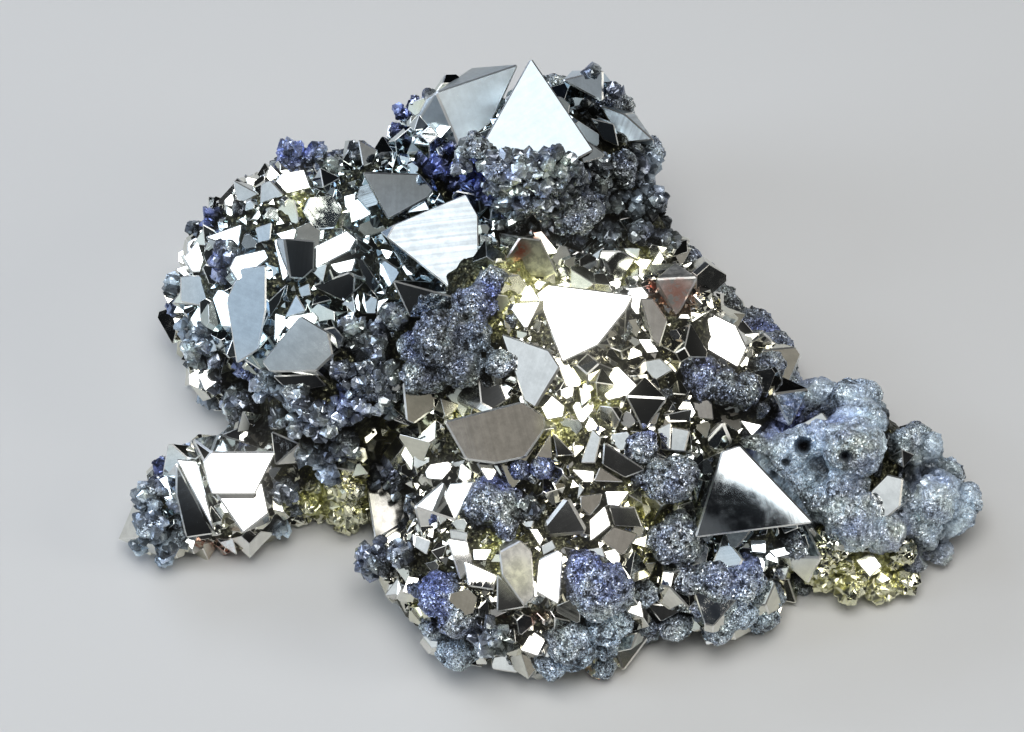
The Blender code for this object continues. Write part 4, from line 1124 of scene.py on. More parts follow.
def paint_zones(mesh, boulders):
    """Store how strong each zone is at each point of a mesh, and how high it stands off the body."""
    points = points_of(mesh)
    height = np.full(len(points), np.inf)
    for centre, radii in boulders:
        away = np.linalg.norm((points - np.array(centre)) / np.array(radii), axis=1)
        height = np.minimum(height, (away - 1.0) * min(radii))
    store(mesh, "height", height)
    for name, spots in ZONES.items():
        strength = np.zeros(len(points))
        for pixel, reach in spots:
            middle = surface_point(sight_line(pixel), boulders)
            away = np.linalg.norm(points - np.array(middle), axis=1)
            spot = np.clip(ZONE_STRENGTH * (1.0 - away / reach), 0.0, 1.0)
            strength = np.maximum(strength, spot)
        store(mesh, name, strength)


def as_shape(shell):
    """A bmesh's points and triangles as arrays, and which triangles are bevels."""
    bmesh.ops.triangulate(shell, faces=shell.faces[:])
    shell.verts.index_update()
    corners = np.array([list(vertex.co) for vertex in shell.verts])
    faces = np.array([[vertex.index for vertex in face.verts] for face in shell.faces])
    edges = np.array([float(face.material_index == BEVEL_MARK) for face in shell.faces])
    shell.free()
    return corners, faces, edges


def bevel(shell, width):
    """Cut a narrow flat along every edge, marked as a bevel."""
    bmesh.ops.bevel(
        shell, geom=shell.edges[:], offset=width, offset_type="OFFSET", segments=1, profile=0.5,
        affect="EDGES", clamp_overlap=True, material=BEVEL_MARK,
    )


def slice_off(shell, normal, distance):
    """Cut away what lies beyond a plane and close the cut."""
    everything = shell.verts[:] + shell.edges[:] + shell.faces[:]
    cut = bmesh.ops.bisect_plane(
        shell, geom=everything, plane_co=normal * distance, plane_no=normal, clear_outer=True
    )
    rim = [item for item in cut["geom_cut"] if isinstance(item, bmesh.types.BMEdge)]
    if rim:
        bmesh.ops.contextual_create(shell, geom=rim)


def crystal_shape(rng, bevel_width):
    """An octahedron with its faces at uneven distances, often flattened, and some corners cut off."""
    shell = bmesh.new()
    bmesh.ops.create_cube(shell, size=UNCUT_BLOCK)
    flat_pair = rng.randrange(4) if rng.random() < FLAT_CRYSTAL_SHARE else None
    for number in range(4):
        normal = Vector((1.0, 1.0 - 2.0 * (number % 2), 1.0 - 2.0 * (number // 2))).normalized()
        for side in (1.0, -1.0):
            distance = rng.uniform(*FACE_DISTANCES)
            if number == flat_pair:
                distance = rng.uniform(*FLAT_FACE_DISTANCES)
            slice_off(shell, normal * side, distance)
    for axis in range(3):
        for side in (1.0, -1.0):
            corner = Vector((0.0, 0.0, 0.0))
            corner[axis] = side
            slice_off(shell, corner, rng.uniform(*CORNER_DISTANCES))
    bmesh.ops.recalc_face_normals(shell, faces=shell.faces)
    bevel(shell, bevel_width)
    return as_shape(shell)


def wrap(shell):
    """Put a convex skin round a bmesh's points."""
    bmesh.ops.convex_hull(shell, input=shell.verts)
    bmesh.ops.recalc_face_normals(shell, faces=shell.faces)


def octahedron(reaches):
    """A plain octahedron, with how far its corners reach along each axis."""
    shell = bmesh.new()
    for axis, reach in enumerate(reaches):
        for side in (1.0, -1.0):
            corner = Vector((0.0, 0.0, 0.0))
            corner[axis] = side * reach
            shell.verts.new(corner)
    wrap(shell)
    return shell


def ball_shape():
    """A ball of triangles."""
    shell = bmesh.new()
    bmesh.ops.create_icosphere(shell, subdivisions=NODULE_DETAIL, radius=1.0)
    return as_shape(shell)


def pebble_shape(rng):
    """An angular pebble: what a few random corners on a ball enclose."""
    shell = bmesh.new()
    for corner in range(PEBBLE_CORNERS):
        shell.verts.new(random_direction(rng) * rng.uniform(*PEBBLE_CORNER_REACH))
    wrap(shell)
    return as_shape(shell)


def nodule_mesh(nodules):
    """The bodies of some nodules, merged and broken up into grains."""
    places = []
    for middle, radius, out, kind in nodules:
        size = radius if kind == SMOOTH else radius * KNOBBLY_CORE_SHARE
        places.append((0, middle, size, Matrix.Identity(3), 0.0))
    merge = ("REMESH", {"mode": "VOXEL", "voxel_size": NODULE_GRAIN_MM})
    mesh = evaluated(many("balls", [ball_shape()], places), merge, ("TRIANGULATE", {}))
    move_along_normals(mesh, noise_move, NODULE_LUMPS_MM)
    move_along_normals(mesh, grain_move, GRAIN_CELLS_MM)
    pitted = np.zeros(len(mesh.vertices))
    for pixel, radius, depth in PITS:
        press_pit(mesh, sight_line(pixel), radius, depth, pitted)
    # Where the pits are, for the painted shade in them
    store(mesh, "pit", pitted)
    return mesh


def press_pit(mesh, view, radius, depth, pitted):
    """Press a small round pit along a sight line into the side that faces the eye, and note where."""
    for vertex in mesh.vertices:
        offset = vertex.co - EYE
        aside = (offset - view * offset.dot(view)).length
        if aside < radius and vertex.normal.dot(view) < 0.0:
            share = 1.0 - (aside / radius) ** 2
            vertex.co += view * depth * share
            pitted[vertex.index] = share


def pebble_mesh(name, nodules):
    """Some nodules as one angular pebble each, with smaller ones all over its outer side."""
    rng = random.Random(PEBBLE_SEED)
    shapes = [pebble_shape(rng) for number in range(PEBBLE_SHAPES)]
    places = []
    for middle, radius, out, kind in nodules:
        if radius < LARGEST_PEBBLE_MM:
            turn = random_turn(rng)
            places.append((rng.randrange(PEBBLE_SHAPES), middle, radius, turn, rng.random()))
        outer_area = 2.0 * math.pi * radius * radius
        for pebble in range(round(outer_area * PEBBLES_PER_SQUARE_MM[kind])):
            direction = random_direction(rng)
            if direction.dot(out) < 0.0:
                direction = -direction
            size = rng.uniform(*PEBBLE_MM)
            turn = random_turn(rng)
            seat = middle + direction * (radius - size * PEBBLE_SEAT_SHARE)
            places.append((rng.randrange(PEBBLE_SHAPES), seat, size, turn, rng.random()))
    mesh = many(name, shapes, places)
    give_usual_look(mesh)
    return mesh


def crystal_frame(name, boulders):
    """Where a large crystal's seen face lies: its anchor, normal, size, and its corners in space."""
    turn, corner_pixels = ALL_CRYSTALS[name]
    view = sight_line(middle_pixel(corner_pixels))
    on_body = surface_point(view, boulders)
    normal = turned(-view, turn)
    size = math.sqrt(polygon_area([on_plane(pixel, on_body, normal) for pixel in corner_pixels]))
    anchor = on_body - view * CRYSTAL_LIFTS_MM.get(name, CRYSTAL_LIFT_PER_SIZE * size)
    corners = [on_plane(pixel, anchor, normal) for pixel in corner_pixels]
    return anchor, normal, size, corners


def large_crystal(name, boulders):
    """A large crystal with bevelled edges and a slightly curved face, and its striations' direction."""
    anchor, normal, size, face = crystal_frame(name, boulders)
    look = LOOKS.get(name, {})
    shoulder = []
    for pixel, drop in CRYSTAL_SHOULDERS.get(name, ()):
        shoulder.append(on_plane(pixel, anchor, normal) + sight_line(pixel) * drop)
    heart = mean_of(face) - normal * (CRYSTAL_DEPTH_PER_SIZE * size / 2.0)
    mirrored = [heart - (corner - heart) * CRYSTAL_ROOT_SHARE for corner in face]
    shell = bmesh.new()
    for point in face + shoulder + mirrored:
        shell.verts.new(point)
    wrapped = bmesh.ops.convex_hull(shell, input=shell.verts)
    spare = [item for item in wrapped["geom_interior"] if isinstance(item, bmesh.types.BMVert)]
    bmesh.ops.delete(shell, geom=spare, context="VERTS")
    bmesh.ops.recalc_face_normals(shell, faces=shell.faces)
    bmesh.ops.dissolve_limit(
        shell, angle_limit=FLAT_BELOW, verts=shell.verts[:], edges=shell.edges[:]
    )
    bevel(shell, look.get("bevel", min(CRYSTAL_BEVEL_MM, size * CRYSTAL_BEVEL_SHARE)))
    refine_seen_face(shell, normal)
    crest = on_plane(look["crest"], anchor, normal) if "crest" in look else mean_of(face)
    fall = on_plane(look["fall"], anchor, normal) - crest if "fall" in look else None
    bend(shell, crest, normal, look.get("curvature", USUAL_CURVATURE), fall)
    first, second = look.get("grain", (0, 1))
    return shell, (face[second] - face[first]).normalized()


def refine_seen_face(shell, normal):
    """Divide the faces that look along a normal, so that they can be curved."""
    bmesh.ops.triangulate(shell, faces=seen_faces(shell, normal))
    edges = {edge for face in seen_faces(shell, normal) for edge in face.edges}
    bmesh.ops.subdivide_edges(shell, edges=list(edges), cuts=FACE_CUTS, use_grid_fill=True)


def seen_faces(shell, normal):
    """The faces that look along a normal."""
    return [face for face in shell.faces if face.normal.dot(normal) > SAME_FACE]


def bend(shell, crest, normal, curvature, fall):
    """Dome a crystal along a normal, or arch it in the direction of its fall, and ripple it slightly."""
    for vertex in shell.verts:
        offset = vertex.co - crest
        aside = offset - normal * offset.dot(normal) if fall is None else offset.project(fall)
        ripple = noise.noise(vertex.co / RIPPLE_SIZE_MM) * RIPPLE_MM
        vertex.co += normal * (ripple - curvature * aside.length_squared / 2.0)


def large_crystal_mesh(boulders):
    """All the large crystals as one mesh."""
    rng = random.Random(CRUST_SEED)
    parts = []
    for name in ALL_CRYSTALS:
        look = LOOKS.get(name, {})
        shell, grain = large_crystal(name, boulders)
        corners, faces, edges = as_shape(shell)
        part = {
            "points": corners,
            "triangles": faces,
            "edge": edges,
            "tone": np.full(len(corners), look.get("tone", rng.random())),
            "grain": np.tile(list(grain), (len(corners), 1)),
        }
        for trait, usual in USUAL_LOOK.items():
            part[trait] = np.full(len(corners), look.get(trait, usual))
        parts.append(part)
    mesh = gathered("large_crystals", parts)
    mesh.shade_smooth()
    mesh.set_sharp_from_angle(angle=SMOOTH_BELOW)
    return mesh


def small_crystal_mesh(crystals):
    """The scattered octahedra that the solid has too, with bevelled edges."""
    rng = random.Random(SCATTER_SEED)
    shell = octahedron((1.0, 1.0, 1.0))
    bevel(shell, SMALL_BEVEL_SHARE)
    places = [(0, middle, size, turn, rng.random()) for middle, size, turn in crystals]
    mesh = many("small_crystals", [as_shape(shell)], places)
    give_usual_look(mesh)
    return mesh


def give_usual_look(mesh):
    """Store the usual look on all points of a mesh."""
    for name, usual in USUAL_LOOK.items():
        store(mesh, name, np.full(len(mesh.vertices), usual))


def surface_samples(mesh, count, rng):
    """Points picked evenly over a mesh, with the normals there."""
    total = len(mesh.polygons)
    areas = np.zeros(total)
    normals = np.zeros(total * 3)
    middles = np.zeros(total * 3)
    mesh.polygons.foreach_get("area", areas)
    mesh.polygons.foreach_get("normal", normals)
    mesh.polygons.foreach_get("center", middles)
    chosen = rng.choice(total, size=count, p=areas / areas.sum())
    jitter = rng.uniform(-0.5, 0.5, (count, 3)) * ROCK_GRAIN_MM
    return middles.reshape(-1, 3)[chosen] + jitter, normals.reshape(-1, 3)[chosen]


def tree_of(points):
    """A search tree of some points."""
    tree = kdtree.KDTree(len(points))
    for number, point in enumerate(points):
        tree.insert(point, number)
    tree.balance()
    return tree


def block_near(tree, blocked, point, reach):
    """Mark all points of a tree within reach of a point."""
    for place, number, distance in tree.find_range(point, reach):
        blocked[number] = True


def crust_places(rock, nodules, boulders):
    """Where the crust's crystals sit: the middles and sizes of each layer, coarse ones first."""
    rng = np.random.default_rng(CRUST_SEED)
    guards = face_guards(boulders)
    taken = []
    layers = {}
    for name, layer in CRUST.items():
        points, normals = surface_samples(rock, layer["tries"], rng)
        sizes = rng.uniform(*layer["size"], len(points))
        lifts = rng.uniform(*CRUST_PROUD, len(points)) * sizes
        middles = points + normals * lifts[:, None]
        tree = tree_of(middles)
        blocked = middles[:, 2] < CRUST_LOWEST_MM
        for middle, radius, out, kind in nodules:
            block_near(tree, blocked, middle, radius + CRUST_NODULE_GAP_MM)
        for middle, size in taken:
            block_near(tree, blocked, middle, size * CRUST_OVERLAP)
        kept = []
        for number in range(len(points)):
            if blocked[number]:
                continue
            middle = Vector(middles[number])
            size = float(sizes[number])
            if is_hiding(middle, size, layer["margin"], guards):
                continue
            if is_beyond(middle, Vector(normals[number]) * size):
                continue
            block_near(tree, blocked, middle, layer["spacing"])
            kept.append((middle, size))
        taken += kept
        layers[name] = kept
    return layers


def clear_bare_regions(crust, nodules):
    """Take away the crust where none grows, and put nodules in the place of the larger crystals."""
    for name, kept in crust.items():
        remaining = []
        for middle, size in kept:
            region = region_of(middle)
            if region is None:
                remaining.append((middle, size))
                continue
            radius = size * BARE_REGIONS[region][0]
            if radius > SMALLEST_IN_PLACE_MM:
                nodules.append((middle, radius, TOWARDS_EYE, NODULE_KINDS.get(region, SMOOTH)))
        crust[name] = remaining


def region_of(point):
    """The name of the bare region in which a point is seen, if any."""
    pixel = pixel_of(point)
    for name, (share, outline) in BARE_REGIONS.items():
        if is_inside(pixel, outline):
            return name
    return None


def is_beyond(middle, reach):
    """Whether a small crystal would show beyond the specimen's outline in the photograph."""
    return not is_inside(pixel_of(middle + reach * CRUST_OUTLINE_SHARE), OUTLINE_PX)


def face_guards(boulders):
    """For each large crystal: its seen face's corner pixels and the face's plane."""
    guards = []
    for name, (turn, corners) in ALL_CRYSTALS.items():
        anchor, normal = crystal_frame(name, boulders)[:2]
        guards.append((corners, anchor, normal))
    return guards


def is_hiding(middle, size, margin_share, guards):
    """Whether a small crystal would stand out through, or in front of, a large crystal's face."""
    pixel = pixel_of(middle)
    margin = size * PX_PER_MM * margin_share
    for corners, anchor, normal in guards:
        if (middle - anchor).dot(normal) < -size * GUARD_DEPTH_SHARE:
            continue
        centre = middle_pixel(corners)
        across = pixel[0] - centre[0]
        down = pixel[1] - centre[1]
        away = math.hypot(across, down)
        if away > GUARD_REACH_PX:
            continue
        share = max(0.0, 1.0 - margin / max(away, margin))
        if is_inside((centre[0] + across * share, centre[1] + down * share), corners):
            return True
    return False


def crust_turn(rng):
    """How a small crystal lies: some show a face turned in a usual way, and the rest lie anyhow."""
    spin = rng.uniform(0.0, 2.0 * math.pi)
    chance = rng.random()
    for turn, share in CRUST_TURNS.items():
        chance -= share
        if chance < 0.0:
            varied = [degrees + rng.uniform(-CRUST_TURN_VARIES, CRUST_TURN_VARIES) for degrees in turn]
            swing = OCTAHEDRON_FACE.rotation_difference(turned(TOWARDS_EYE, varied)).to_matrix()
            return swing @ Matrix.Rotation(spin, 3, OCTAHEDRON_FACE)
    return Matrix.Rotation(spin, 3, random_direction(rng))


def crust_mesh(name, kept):
    """One layer of the crust as a mesh."""
    rng = random.Random(CRUST_SEED)
    layer = CRUST[name]
    shapes = []
    for number in range(CRUST_SHAPES):
        if layer["bevel"] > 0.0:
            shapes.append(crystal_shape(rng, layer["bevel"]))
        else:
            reaches = [rng.uniform(*OCTAHEDRON_STRETCH) for axis in range(3)]
            shapes.append(as_shape(octahedron(reaches)))
    places = []
    for middle, size in kept:
        places.append((rng.randrange(CRUST_SHAPES), middle, size, crust_turn(rng), rng.random()))
    mesh = many(name, shapes, places)
    give_usual_look(mesh)
    return mesh


def connect(tree, source, socket):
    """Link a socket to another, or set a plain value there."""
    if isinstance(source, bpy.types.NodeSocket):
        tree.links.new(source, socket)
    elif socket.type == "RGBA":
        socket.default_value = (*source, 1.0)
    else:
        socket.default_value = source


def wire(tree, node, inputs):
    """Fill a node's inputs, each from a socket or a plain value."""
    for socket, source in inputs.items():
        connect(tree, source, node.inputs[socket])


def add_node(tree, kind, inputs, **settings):
    """A new node with its settings and its inputs."""
    made = tree.nodes.new(kind)
    for setting, value in settings.items():
        setattr(made, setting, value)
    wire(tree, made, inputs)
    return made


def vector_math(tree, operation, inputs):
    """The vector that an operation gives."""
    return add_node(tree, "ShaderNodeVectorMath", inputs, operation=operation).outputs["Vector"]


def new_material(name):
    """A node material, its shader, and the place on the specimen in millimetres."""
    material = bpy.data.materials.new(name)
    material.use_nodes = True
    tree = material.node_tree
    metres = add_node(tree, "ShaderNodeTexCoord", {}).outputs["Object"]
    place = vector_math(tree, "SCALE", {0: metres, "Scale": 1.0 / MM})
    return material, tree, tree.nodes["Principled BSDF"], place


def noise_of(tree, place, scale, detail=3.0, roughness=0.55):
    """A noise texture's value, with its scale in features per millimetre."""
    inputs = {"Vector": place, "Scale": scale, "Detail": detail, "Roughness": roughness}
    return add_node(tree, "ShaderNodeTexNoise", inputs).outputs["Fac"]


def cells_of(tree, place, scale, output):
    """A Voronoi texture's output, with its scale in cells per millimetre."""
    return add_node(tree, "ShaderNodeTexVoronoi", {"Vector": place, "Scale": scale}).outputs[output]


def ramp(tree, value, stops):
    """Colours against a value: each stop has a position, and a colour or the number of a grey."""
    made = add_node(tree, "ShaderNodeValToRGB", {"Fac": value})
    elements = made.color_ramp.elements
    while len(elements) < len(stops):
        elements.new(0.5)
    for element, (position, colour) in zip(elements, stops):
        channels = colour if isinstance(colour, tuple) else (colour, colour, colour)
        element.position = position
        element.color = (*channels, 1.0)
    return made.outputs["Color"]


def spread(tree, value, low, high, from_low=0.0, from_high=1.0):
    """A value spread over another range."""
    inputs = {
        "Value": value, "From Min": from_low, "From Max": from_high, "To Min": low, "To Max": high,
    }
    return add_node(tree, "ShaderNodeMapRange", inputs).outputs["Result"]


def mixed(tree, share, first, second, blend="MIX"):
    """Two colours mixed by a share; each is a socket or a colour."""
    inputs = {"Factor": share, MIX_FIRST: first, MIX_SECOND: second}
    made = add_node(tree, "ShaderNodeMix", inputs, data_type="RGBA", blend_type=blend)
    return made.outputs[MIX_RESULT]


def dimmed(tree, colour, value):
    """A colour times a value."""
    grey = add_node(tree, "ShaderNodeCombineColor", {"Red": value, "Green": value, "Blue": value})
    return mixed(tree, 1.0, colour, grey.outputs["Color"], "MULTIPLY")


def times(tree, *factors):
    """The product of some values, each a socket or a number."""
    product = factors[0]
    for factor in factors[1:]:
        made = add_node(tree, "ShaderNodeMath", {0: product, 1: factor}, operation="MULTIPLY")
        product = made.outputs["Value"]
    return product


def stored(tree, name, output="Fac"):
    """What a mesh keeps for its points or faces under a name."""
    return add_node(tree, "ShaderNodeAttribute", {}, attribute_name=name).outputs[output]


def striations(tree, place):
    """Fine parallel growth lines along each crystal's own edge."""
    vectors = {0: place, 1: stored(tree, "grain", "Vector")}
    along = add_node(tree, "ShaderNodeVectorMath", vectors, operation="DOT_PRODUCT")
    inputs = {"W": along.outputs["Value"], "Scale": STRIATIONS_PER_MM, "Detail": STRIATION_DETAIL}
    lines = add_node(tree, "ShaderNodeTexNoise", inputs, noise_dimensions="1D").outputs["Fac"]
    return spread(tree, lines, 0.0, 1.0, *STRIATION_RANGE)


def pyrite(name, pale, deep, smooth, rough, hollow_shading):
    """Bright metal: paler and deeper from crystal to crystal, golden or rusty in places, and darkened
    by painted shade in the hollows.
    """
    material, tree, shader, place = new_material(name)
    edge = stored(tree, "edge")
    gold = stored(tree, "gold")
    cloud = noise_of(tree, place, CLOUDS_PER_MM, CLOUD_DETAIL, CLOUD_ROUGHNESS)
    streaked = times(tree, stored(tree, "lines"), striations(tree, place))
    patchy = times(tree, stored(tree, "mottle"), spread(tree, cloud, 0.0, 1.0, *MOTTLE_RANGE))
    colour = mixed(tree, stored(tree, "tone"), pale, deep)
    cool = mixed(tree, stored(tree, "cool"), WHITE, COOL_TINT)
    colour = mixed(tree, 1.0, colour, cool, "MULTIPLY")
    colour = mixed(tree, gold, colour, GOLDEN_METAL)
    specks = spread(tree, cells_of(tree, place, SPECKS_PER_MM, "Distance"), *SPECK_SHARES, *SPECK_RADII)
    colour = mixed(tree, specks, colour, SPECK_COLOUR)
    # Painted shade in the hollows darkens the metal, and its edges too
    hollow_shaded = spread(tree, times(tree, stored(tree, "hollow_shade"), hollow_shading), 1.0, HOLLOW_SHADE_METAL)
    streaks = spread(tree, streaked, 1.0, STREAK_DARKEST)
    patches = spread(tree, patchy, 1.0, MOTTLE_DARKEST)
    colour = dimmed(tree, colour, times(tree, stored(tree, "shade"), hollow_shaded, streaks, patches))
    colour = mixed(tree, times(tree, edge, EDGE_SHARE, hollow_shaded), colour, EDGE_COLOUR)
    stain = spread(tree, cloud, 0.0, 1.0, *STAIN_RANGE)
    colour = mixed(tree, times(tree, stored(tree, "rust"), stain), colour, RUSTY_METAL)
    dull = spread(tree, cloud, smooth, rough, *DULL_RANGE)
    dull = spread(tree, stored(tree, "haze"), dull, 1.0)
    dull = spread(tree, times(tree, gold, GOLD_HAZE), dull, 1.0)
    dull = spread(tree, edge, dull, EDGE_ROUGHNESS)
    grooves = {"Height": streaked, "Strength": GROOVE_STRENGTH, "Distance": GROOVE_DEPTH_MM * MM}
    normal = add_node(tree, "ShaderNodeBump", grooves).outputs["Normal"]
    wire(tree, shader, {"Base Color": colour, "Metallic": 1.0, "Roughness": dull, "Normal": normal})
    return material


def scattered_normal(tree, place, scales, lean):
    """A normal that leans its own way in each grain: scales are in grains per millimetre."""
    normal = add_node(tree, "ShaderNodeNewGeometry", {}).outputs["Normal"]
    for scale in scales:
        cell = cells_of(tree, place, scale, "Color")
        centred = vector_math(tree, "SUBTRACT", {0: cell, 1: (0.5, 0.5, 0.5)})
        leaning = vector_math(tree, "SCALE", {0: centred, "Scale": lean})
        normal = vector_math(tree, "ADD", {0: leaning, 1: normal})
    return vector_math(tree, "NORMALIZE", {0: normal})


def dark_colour(tree, place):
    """Grey-green mineral: blue in places, frosty and painted paler as highlights in others, and
    darkened by painted shade in its gaps and hollows.
    """
    patches = noise_of(tree, place, PATCHES_PER_MM, PATCH_DETAIL)
    base = ramp(tree, patches, MINERAL_COLOURS)
    bluish = spread(tree, patches, *BLUE_SHARES, *BLUE_RANGE)
    blued = mixed(tree, times(tree, stored(tree, "blue"), bluish), base, BLUE_MINERAL)
    # Paler where frosty, partly a painted highlight
    frosted_and_highlit = mixed(tree, times(tree, stored(tree, "frost_and_highlight"), FROST_HIGHLIGHT_SHARE), blued, FROSTED_HIGHLIGHT_MINERAL)
    # Painted shade: darker the lower it lies between the nodules, and darker in the hollows
    gap_shade = spread(tree, stored(tree, "height"), GAP_SHADE_DARKEST, 1.0, *GAP_SHADE_HEIGHTS_MM)
    hollow_shaded = spread(tree, stored(tree, "hollow_shade"), 1.0, HOLLOW_SHADE_MINERAL)
    return dimmed(tree, frosted_and_highlit, times(tree, gap_shade, hollow_shaded))


def metal_share(tree):
    """How metallic the dark mineral is: less where it is frosty with painted highlights, or calm."""
    calm = spread(tree, stored(tree, "calm"), *CALM_METAL)
    frost_and_highlight = spread(tree, stored(tree, "frost_and_highlight"), *FROST_METAL)
    return times(tree, calm, frost_and_highlight)


def dark_mineral():
    """Dark grainy mineral whose grains each catch the light on their own."""
    material, tree, shader, place = new_material("dark_mineral")
    coarse, fine = [cells_of(tree, place, scale, "Color") for scale in MINERAL_GRAINS_PER_MM]
    lively = spread(tree, stored(tree, "calm"), 1.0, CALM_LIVELINESS)
    colour = mixed(tree, lively, dark_colour(tree, place), ramp(tree, fine, GRAIN_GREYS), "MULTIPLY")
    cracks = ramp(tree, noise_of(tree, place, CRACKS_PER_MM, CRACK_DETAIL), CRACK_GREYS)
    colour = mixed(tree, spread(tree, lively, *CRACK_SHARES), colour, cracks, "MULTIPLY")
    # Painted shade in the pits
    colour = mixed(tree, stored(tree, "pit"), colour, PIT_SHADE_COLOUR)
    uneven = spread(tree, noise_of(tree, place, LEANS_PER_MM), *LEAN_SHARES, *LEAN_RANGE)
    wire(tree, shader, {
        "Base Color": colour,
        "Metallic": metal_share(tree),
        "Roughness": spread(tree, coarse, *GRAIN_ROUGHNESS),
        "Normal": scattered_normal(tree, place, MINERAL_GRAINS_PER_MM, times(tree, lively, uneven)),
    })
    return material


def dark_pebble_material():
    """The same mineral in larger angular pebbles with smooth facets."""
    material, tree, shader, place = new_material("dark_pebbles")
    tone = ramp(tree, stored(tree, "tone"), PEBBLE_GREYS)
    haze = noise_of(tree, place, PEBBLE_HAZE_PER_MM, PEBBLE_HAZE_DETAIL)
    wire(tree, shader, {
        "Base Color": mixed(tree, 1.0, dark_colour(tree, place), tone, "MULTIPLY"),
        "Metallic": metal_share(tree),
        "Roughness": spread(tree, haze, *PEBBLE_ROUGHNESS, *PEBBLE_HAZE_RANGE),
        "Normal": scattered_normal(tree, place, PEBBLE_FACETS_PER_MM, PEBBLE_LEAN),
    })
    return material


def rock_material():
    """Granular olive-gold rock between the crystals."""
    material, tree, shader, place = new_material("rock")
    grain = noise_of(tree, place, ROCK_NOISE_PER_MM, ROCK_NOISE_DETAIL, ROCK_NOISE_ROUGHNESS)
    olive = ramp(tree, grain, ROCK_COLOURS)
    colour = mixed(tree, stored(tree, "gold"), olive, ramp(tree, grain, GOLDEN_ROCK_COLOURS))
    colour = mixed(tree, stored(tree, "rust"), colour, RUSTY_ROCK)
    # Painted shade in the hollows
    colour = mixed(tree, stored(tree, "hollow_shade"), colour, HOLLOW_SHADE_ROCK)
    wire(tree, shader, {
        "Base Color": colour,
        "Metallic": ROCK_METAL,
        "Roughness": spread(tree, grain, *ROCK_SHINE),
        "Normal": scattered_normal(tree, place, ROCK_GRAINS_PER_MM, ROCK_LEAN),
    })
    return material


def make_floor():
    """A wide floor of plain pale matte card under the specimen."""
    mesh = bpy.data.meshes.new("floor")
    half = FLOOR_WIDTH / 2.0
    corners = [(-half, -half, 0.0), (half, -half, 0.0), (half, half, 0.0), (-half, half, 0.0)]
    mesh.from_pydata(corners, [], [(0, 1, 2, 3)])
    material, tree, shader, place = new_material("floor")
    wire(tree, shader, {"Base Color": FLOOR_COLOUR, "Roughness": FLOOR_ROUGHNESS})
    mesh.materials.append(material)
    add_object("floor", mesh)


def face_against(thing, place, towards):
    """Put a camera or light at a place of the model's frame, looking against a direction."""
    thing.location = place
    thing.rotation_mode = "QUATERNION"
    thing.rotation_quaternion = (-towards).to_track_quat("-Z", "Y")


def make_camera():
    """The camera at the photograph's viewing angle."""
    data = bpy.data.cameras.new("camera")
    data.sensor_width = SENSOR_MM
    data.lens = SENSOR_MM * VIEW_DISTANCE_MM / (PICTURE_WIDTH_PX / PX_PER_MM)
    data.clip_start, data.clip_end = CLIP_DISTANCES
    camera = add_object("camera", data)
    face_against(camera, TO_MODEL_FRAME @ EYE, TOWARDS_EYE)
    bpy.context.scene.camera = camera


def make_light(name, turn, distance, size, radiance, colour):
    """A soft box seen from the specimen in a direction turned right and up from the eye's."""
    data = bpy.data.lights.new(name, "AREA")
    data.shape = "RECTANGLE"
    data.size, data.size_y = size
    data.energy = radiance * size[0] * size[1] * math.pi
    data.color = colour
    light = add_object(name, data)
    towards = direction_from_eye(turn)
    face_against(light, TO_MODEL_FRAME @ VIEW_TARGET_MM + towards * distance, towards)
    light.visible_camera = False


def direction_from_eye(turn):
    """The direction from the specimen that lies some degrees to the right of and above the eye."""
    right, up = math.radians(turn[0]), math.radians(turn[1])
    elevation = VIEW_ELEVATION + up
    raised = Vector((0.0, -math.cos(elevation), math.sin(elevation)))
    return (raised * math.cos(right) + VIEW_RIGHT * math.sin(right)).normalized()


def make_world():
    """A dim room with soft lighter patches overhead, which give each crystal face its own shading."""
    world = bpy.data.worlds.new("room")
    world.use_nodes = True
    tree = world.node_tree
    direction = add_node(tree, "ShaderNodeTexCoord", {}).outputs["Generated"]
    patches = ramp(tree, noise_of(tree, direction, ROOM_PATCHES, ROOM_DETAIL), ROOM_STOPS)
    height = add_node(tree, "ShaderNodeSeparateXYZ", {"Vector": direction}).outputs["Z"]
    overhead = spread(tree, height, ROOM_LOWEST_SHARE, 1.0, ROOM_DARK_BELOW, ROOM_LIGHT_ABOVE)
    wire(tree, tree.nodes["Background"], {"Color": dimmed(tree, patches, overhead)})
    bpy.context.scene.world = world


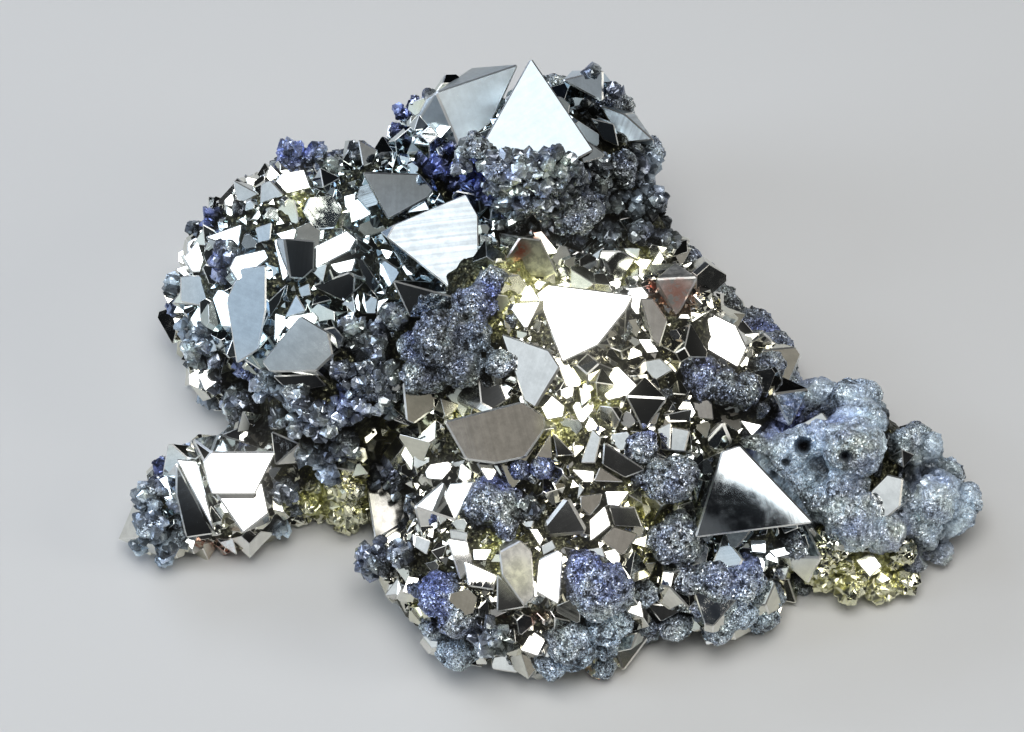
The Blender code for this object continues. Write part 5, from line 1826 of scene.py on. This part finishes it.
def make_picture_tones():
    """The picture's contrast, and a slight glow round the brightest reflections."""
    scene = bpy.context.scene
    scene.view_settings.view_transform = "Standard"
    scene.view_settings.look = "Medium High Contrast"
    scene.use_nodes = True
    tree = scene.node_tree
    tree.nodes.clear()
    picture = add_node(tree, "CompositorNodeRLayers", {}).outputs["Image"]
    inputs = {"Image": picture, "Threshold": GLOW_ABOVE, "Strength": GLOW_STRENGTH, "Size": GLOW_SIZE}
    glowing = add_node(tree, "CompositorNodeGlare", inputs, glare_type="BLOOM").outputs["Image"]
    add_node(tree, "CompositorNodeComposite", {"Image": glowing})


def make_stage():
    """The floor, the room, the soft boxes and the camera."""
    make_camera()
    make_world()
    make_picture_tones()
    make_floor()
    for name, settings in LIGHTS.items():
        make_light(name, **settings)


def specimen_pieces(boulders):
    """Each piece's name, mesh, material and slot."""
    scattered_nodules, scattered_crystals = scattered_growth(boulders)
    nodules = nodule_places(boulders) + scattered_nodules
    rock = rock_mesh(boulders)
    crust = crust_places(rock, nodules, boulders)
    clear_bare_regions(crust, nodules)
    nodules.sort(key=lambda nodule: nodule[0].x)
    golden = [nodule for nodule in nodules if nodule[3] == GOLDEN]
    knobbly = [nodule for nodule in nodules if nodule[3] == KNOBBLY]
    dark = [nodule for nodule in nodules if nodule[3] != GOLDEN]
    faces, grains = [pyrite(name, **look) for name, look in PYRITE_LOOKS.items()]
    pebbles, granular, mineral = dark_pebble_material(), rock_material(), dark_mineral()
    pieces = [
        ("large_crystals", large_crystal_mesh(boulders), faces, "pyrite"),
        ("small_crystals", small_crystal_mesh(scattered_crystals), faces, "pyrite"),
        ("golden_pebbles", pebble_mesh("golden_pebbles", golden), grains, "pyrite"),
        ("dark_pebbles", pebble_mesh("dark_pebbles", knobbly), pebbles, "dark_mineral"),
        ("golden_grains", nodule_mesh(golden), granular, "rock"),
        ("rock", rock, granular, "rock"),
    ]
    for name, kept in crust.items():
        pieces.append((name, crust_mesh(name, kept), grains, "pyrite"))
    share = math.ceil(len(dark) / NODULE_PIECES)
    for number in range(NODULE_PIECES):
        some = dark[number * share:(number + 1) * share]
        pieces.append((f"dark_nodules_{number + 1}", nodule_mesh(some), mineral, "dark_mineral"))
    return pieces


def build():
    """Make the stage and the specimen's pieces."""
    make_stage()
    boulders = place_boulders()
    for name, mesh, material, slot in specimen_pieces(boulders):
        paint_zones(mesh, boulders)
        become_piece(name, mesh, material)


build()
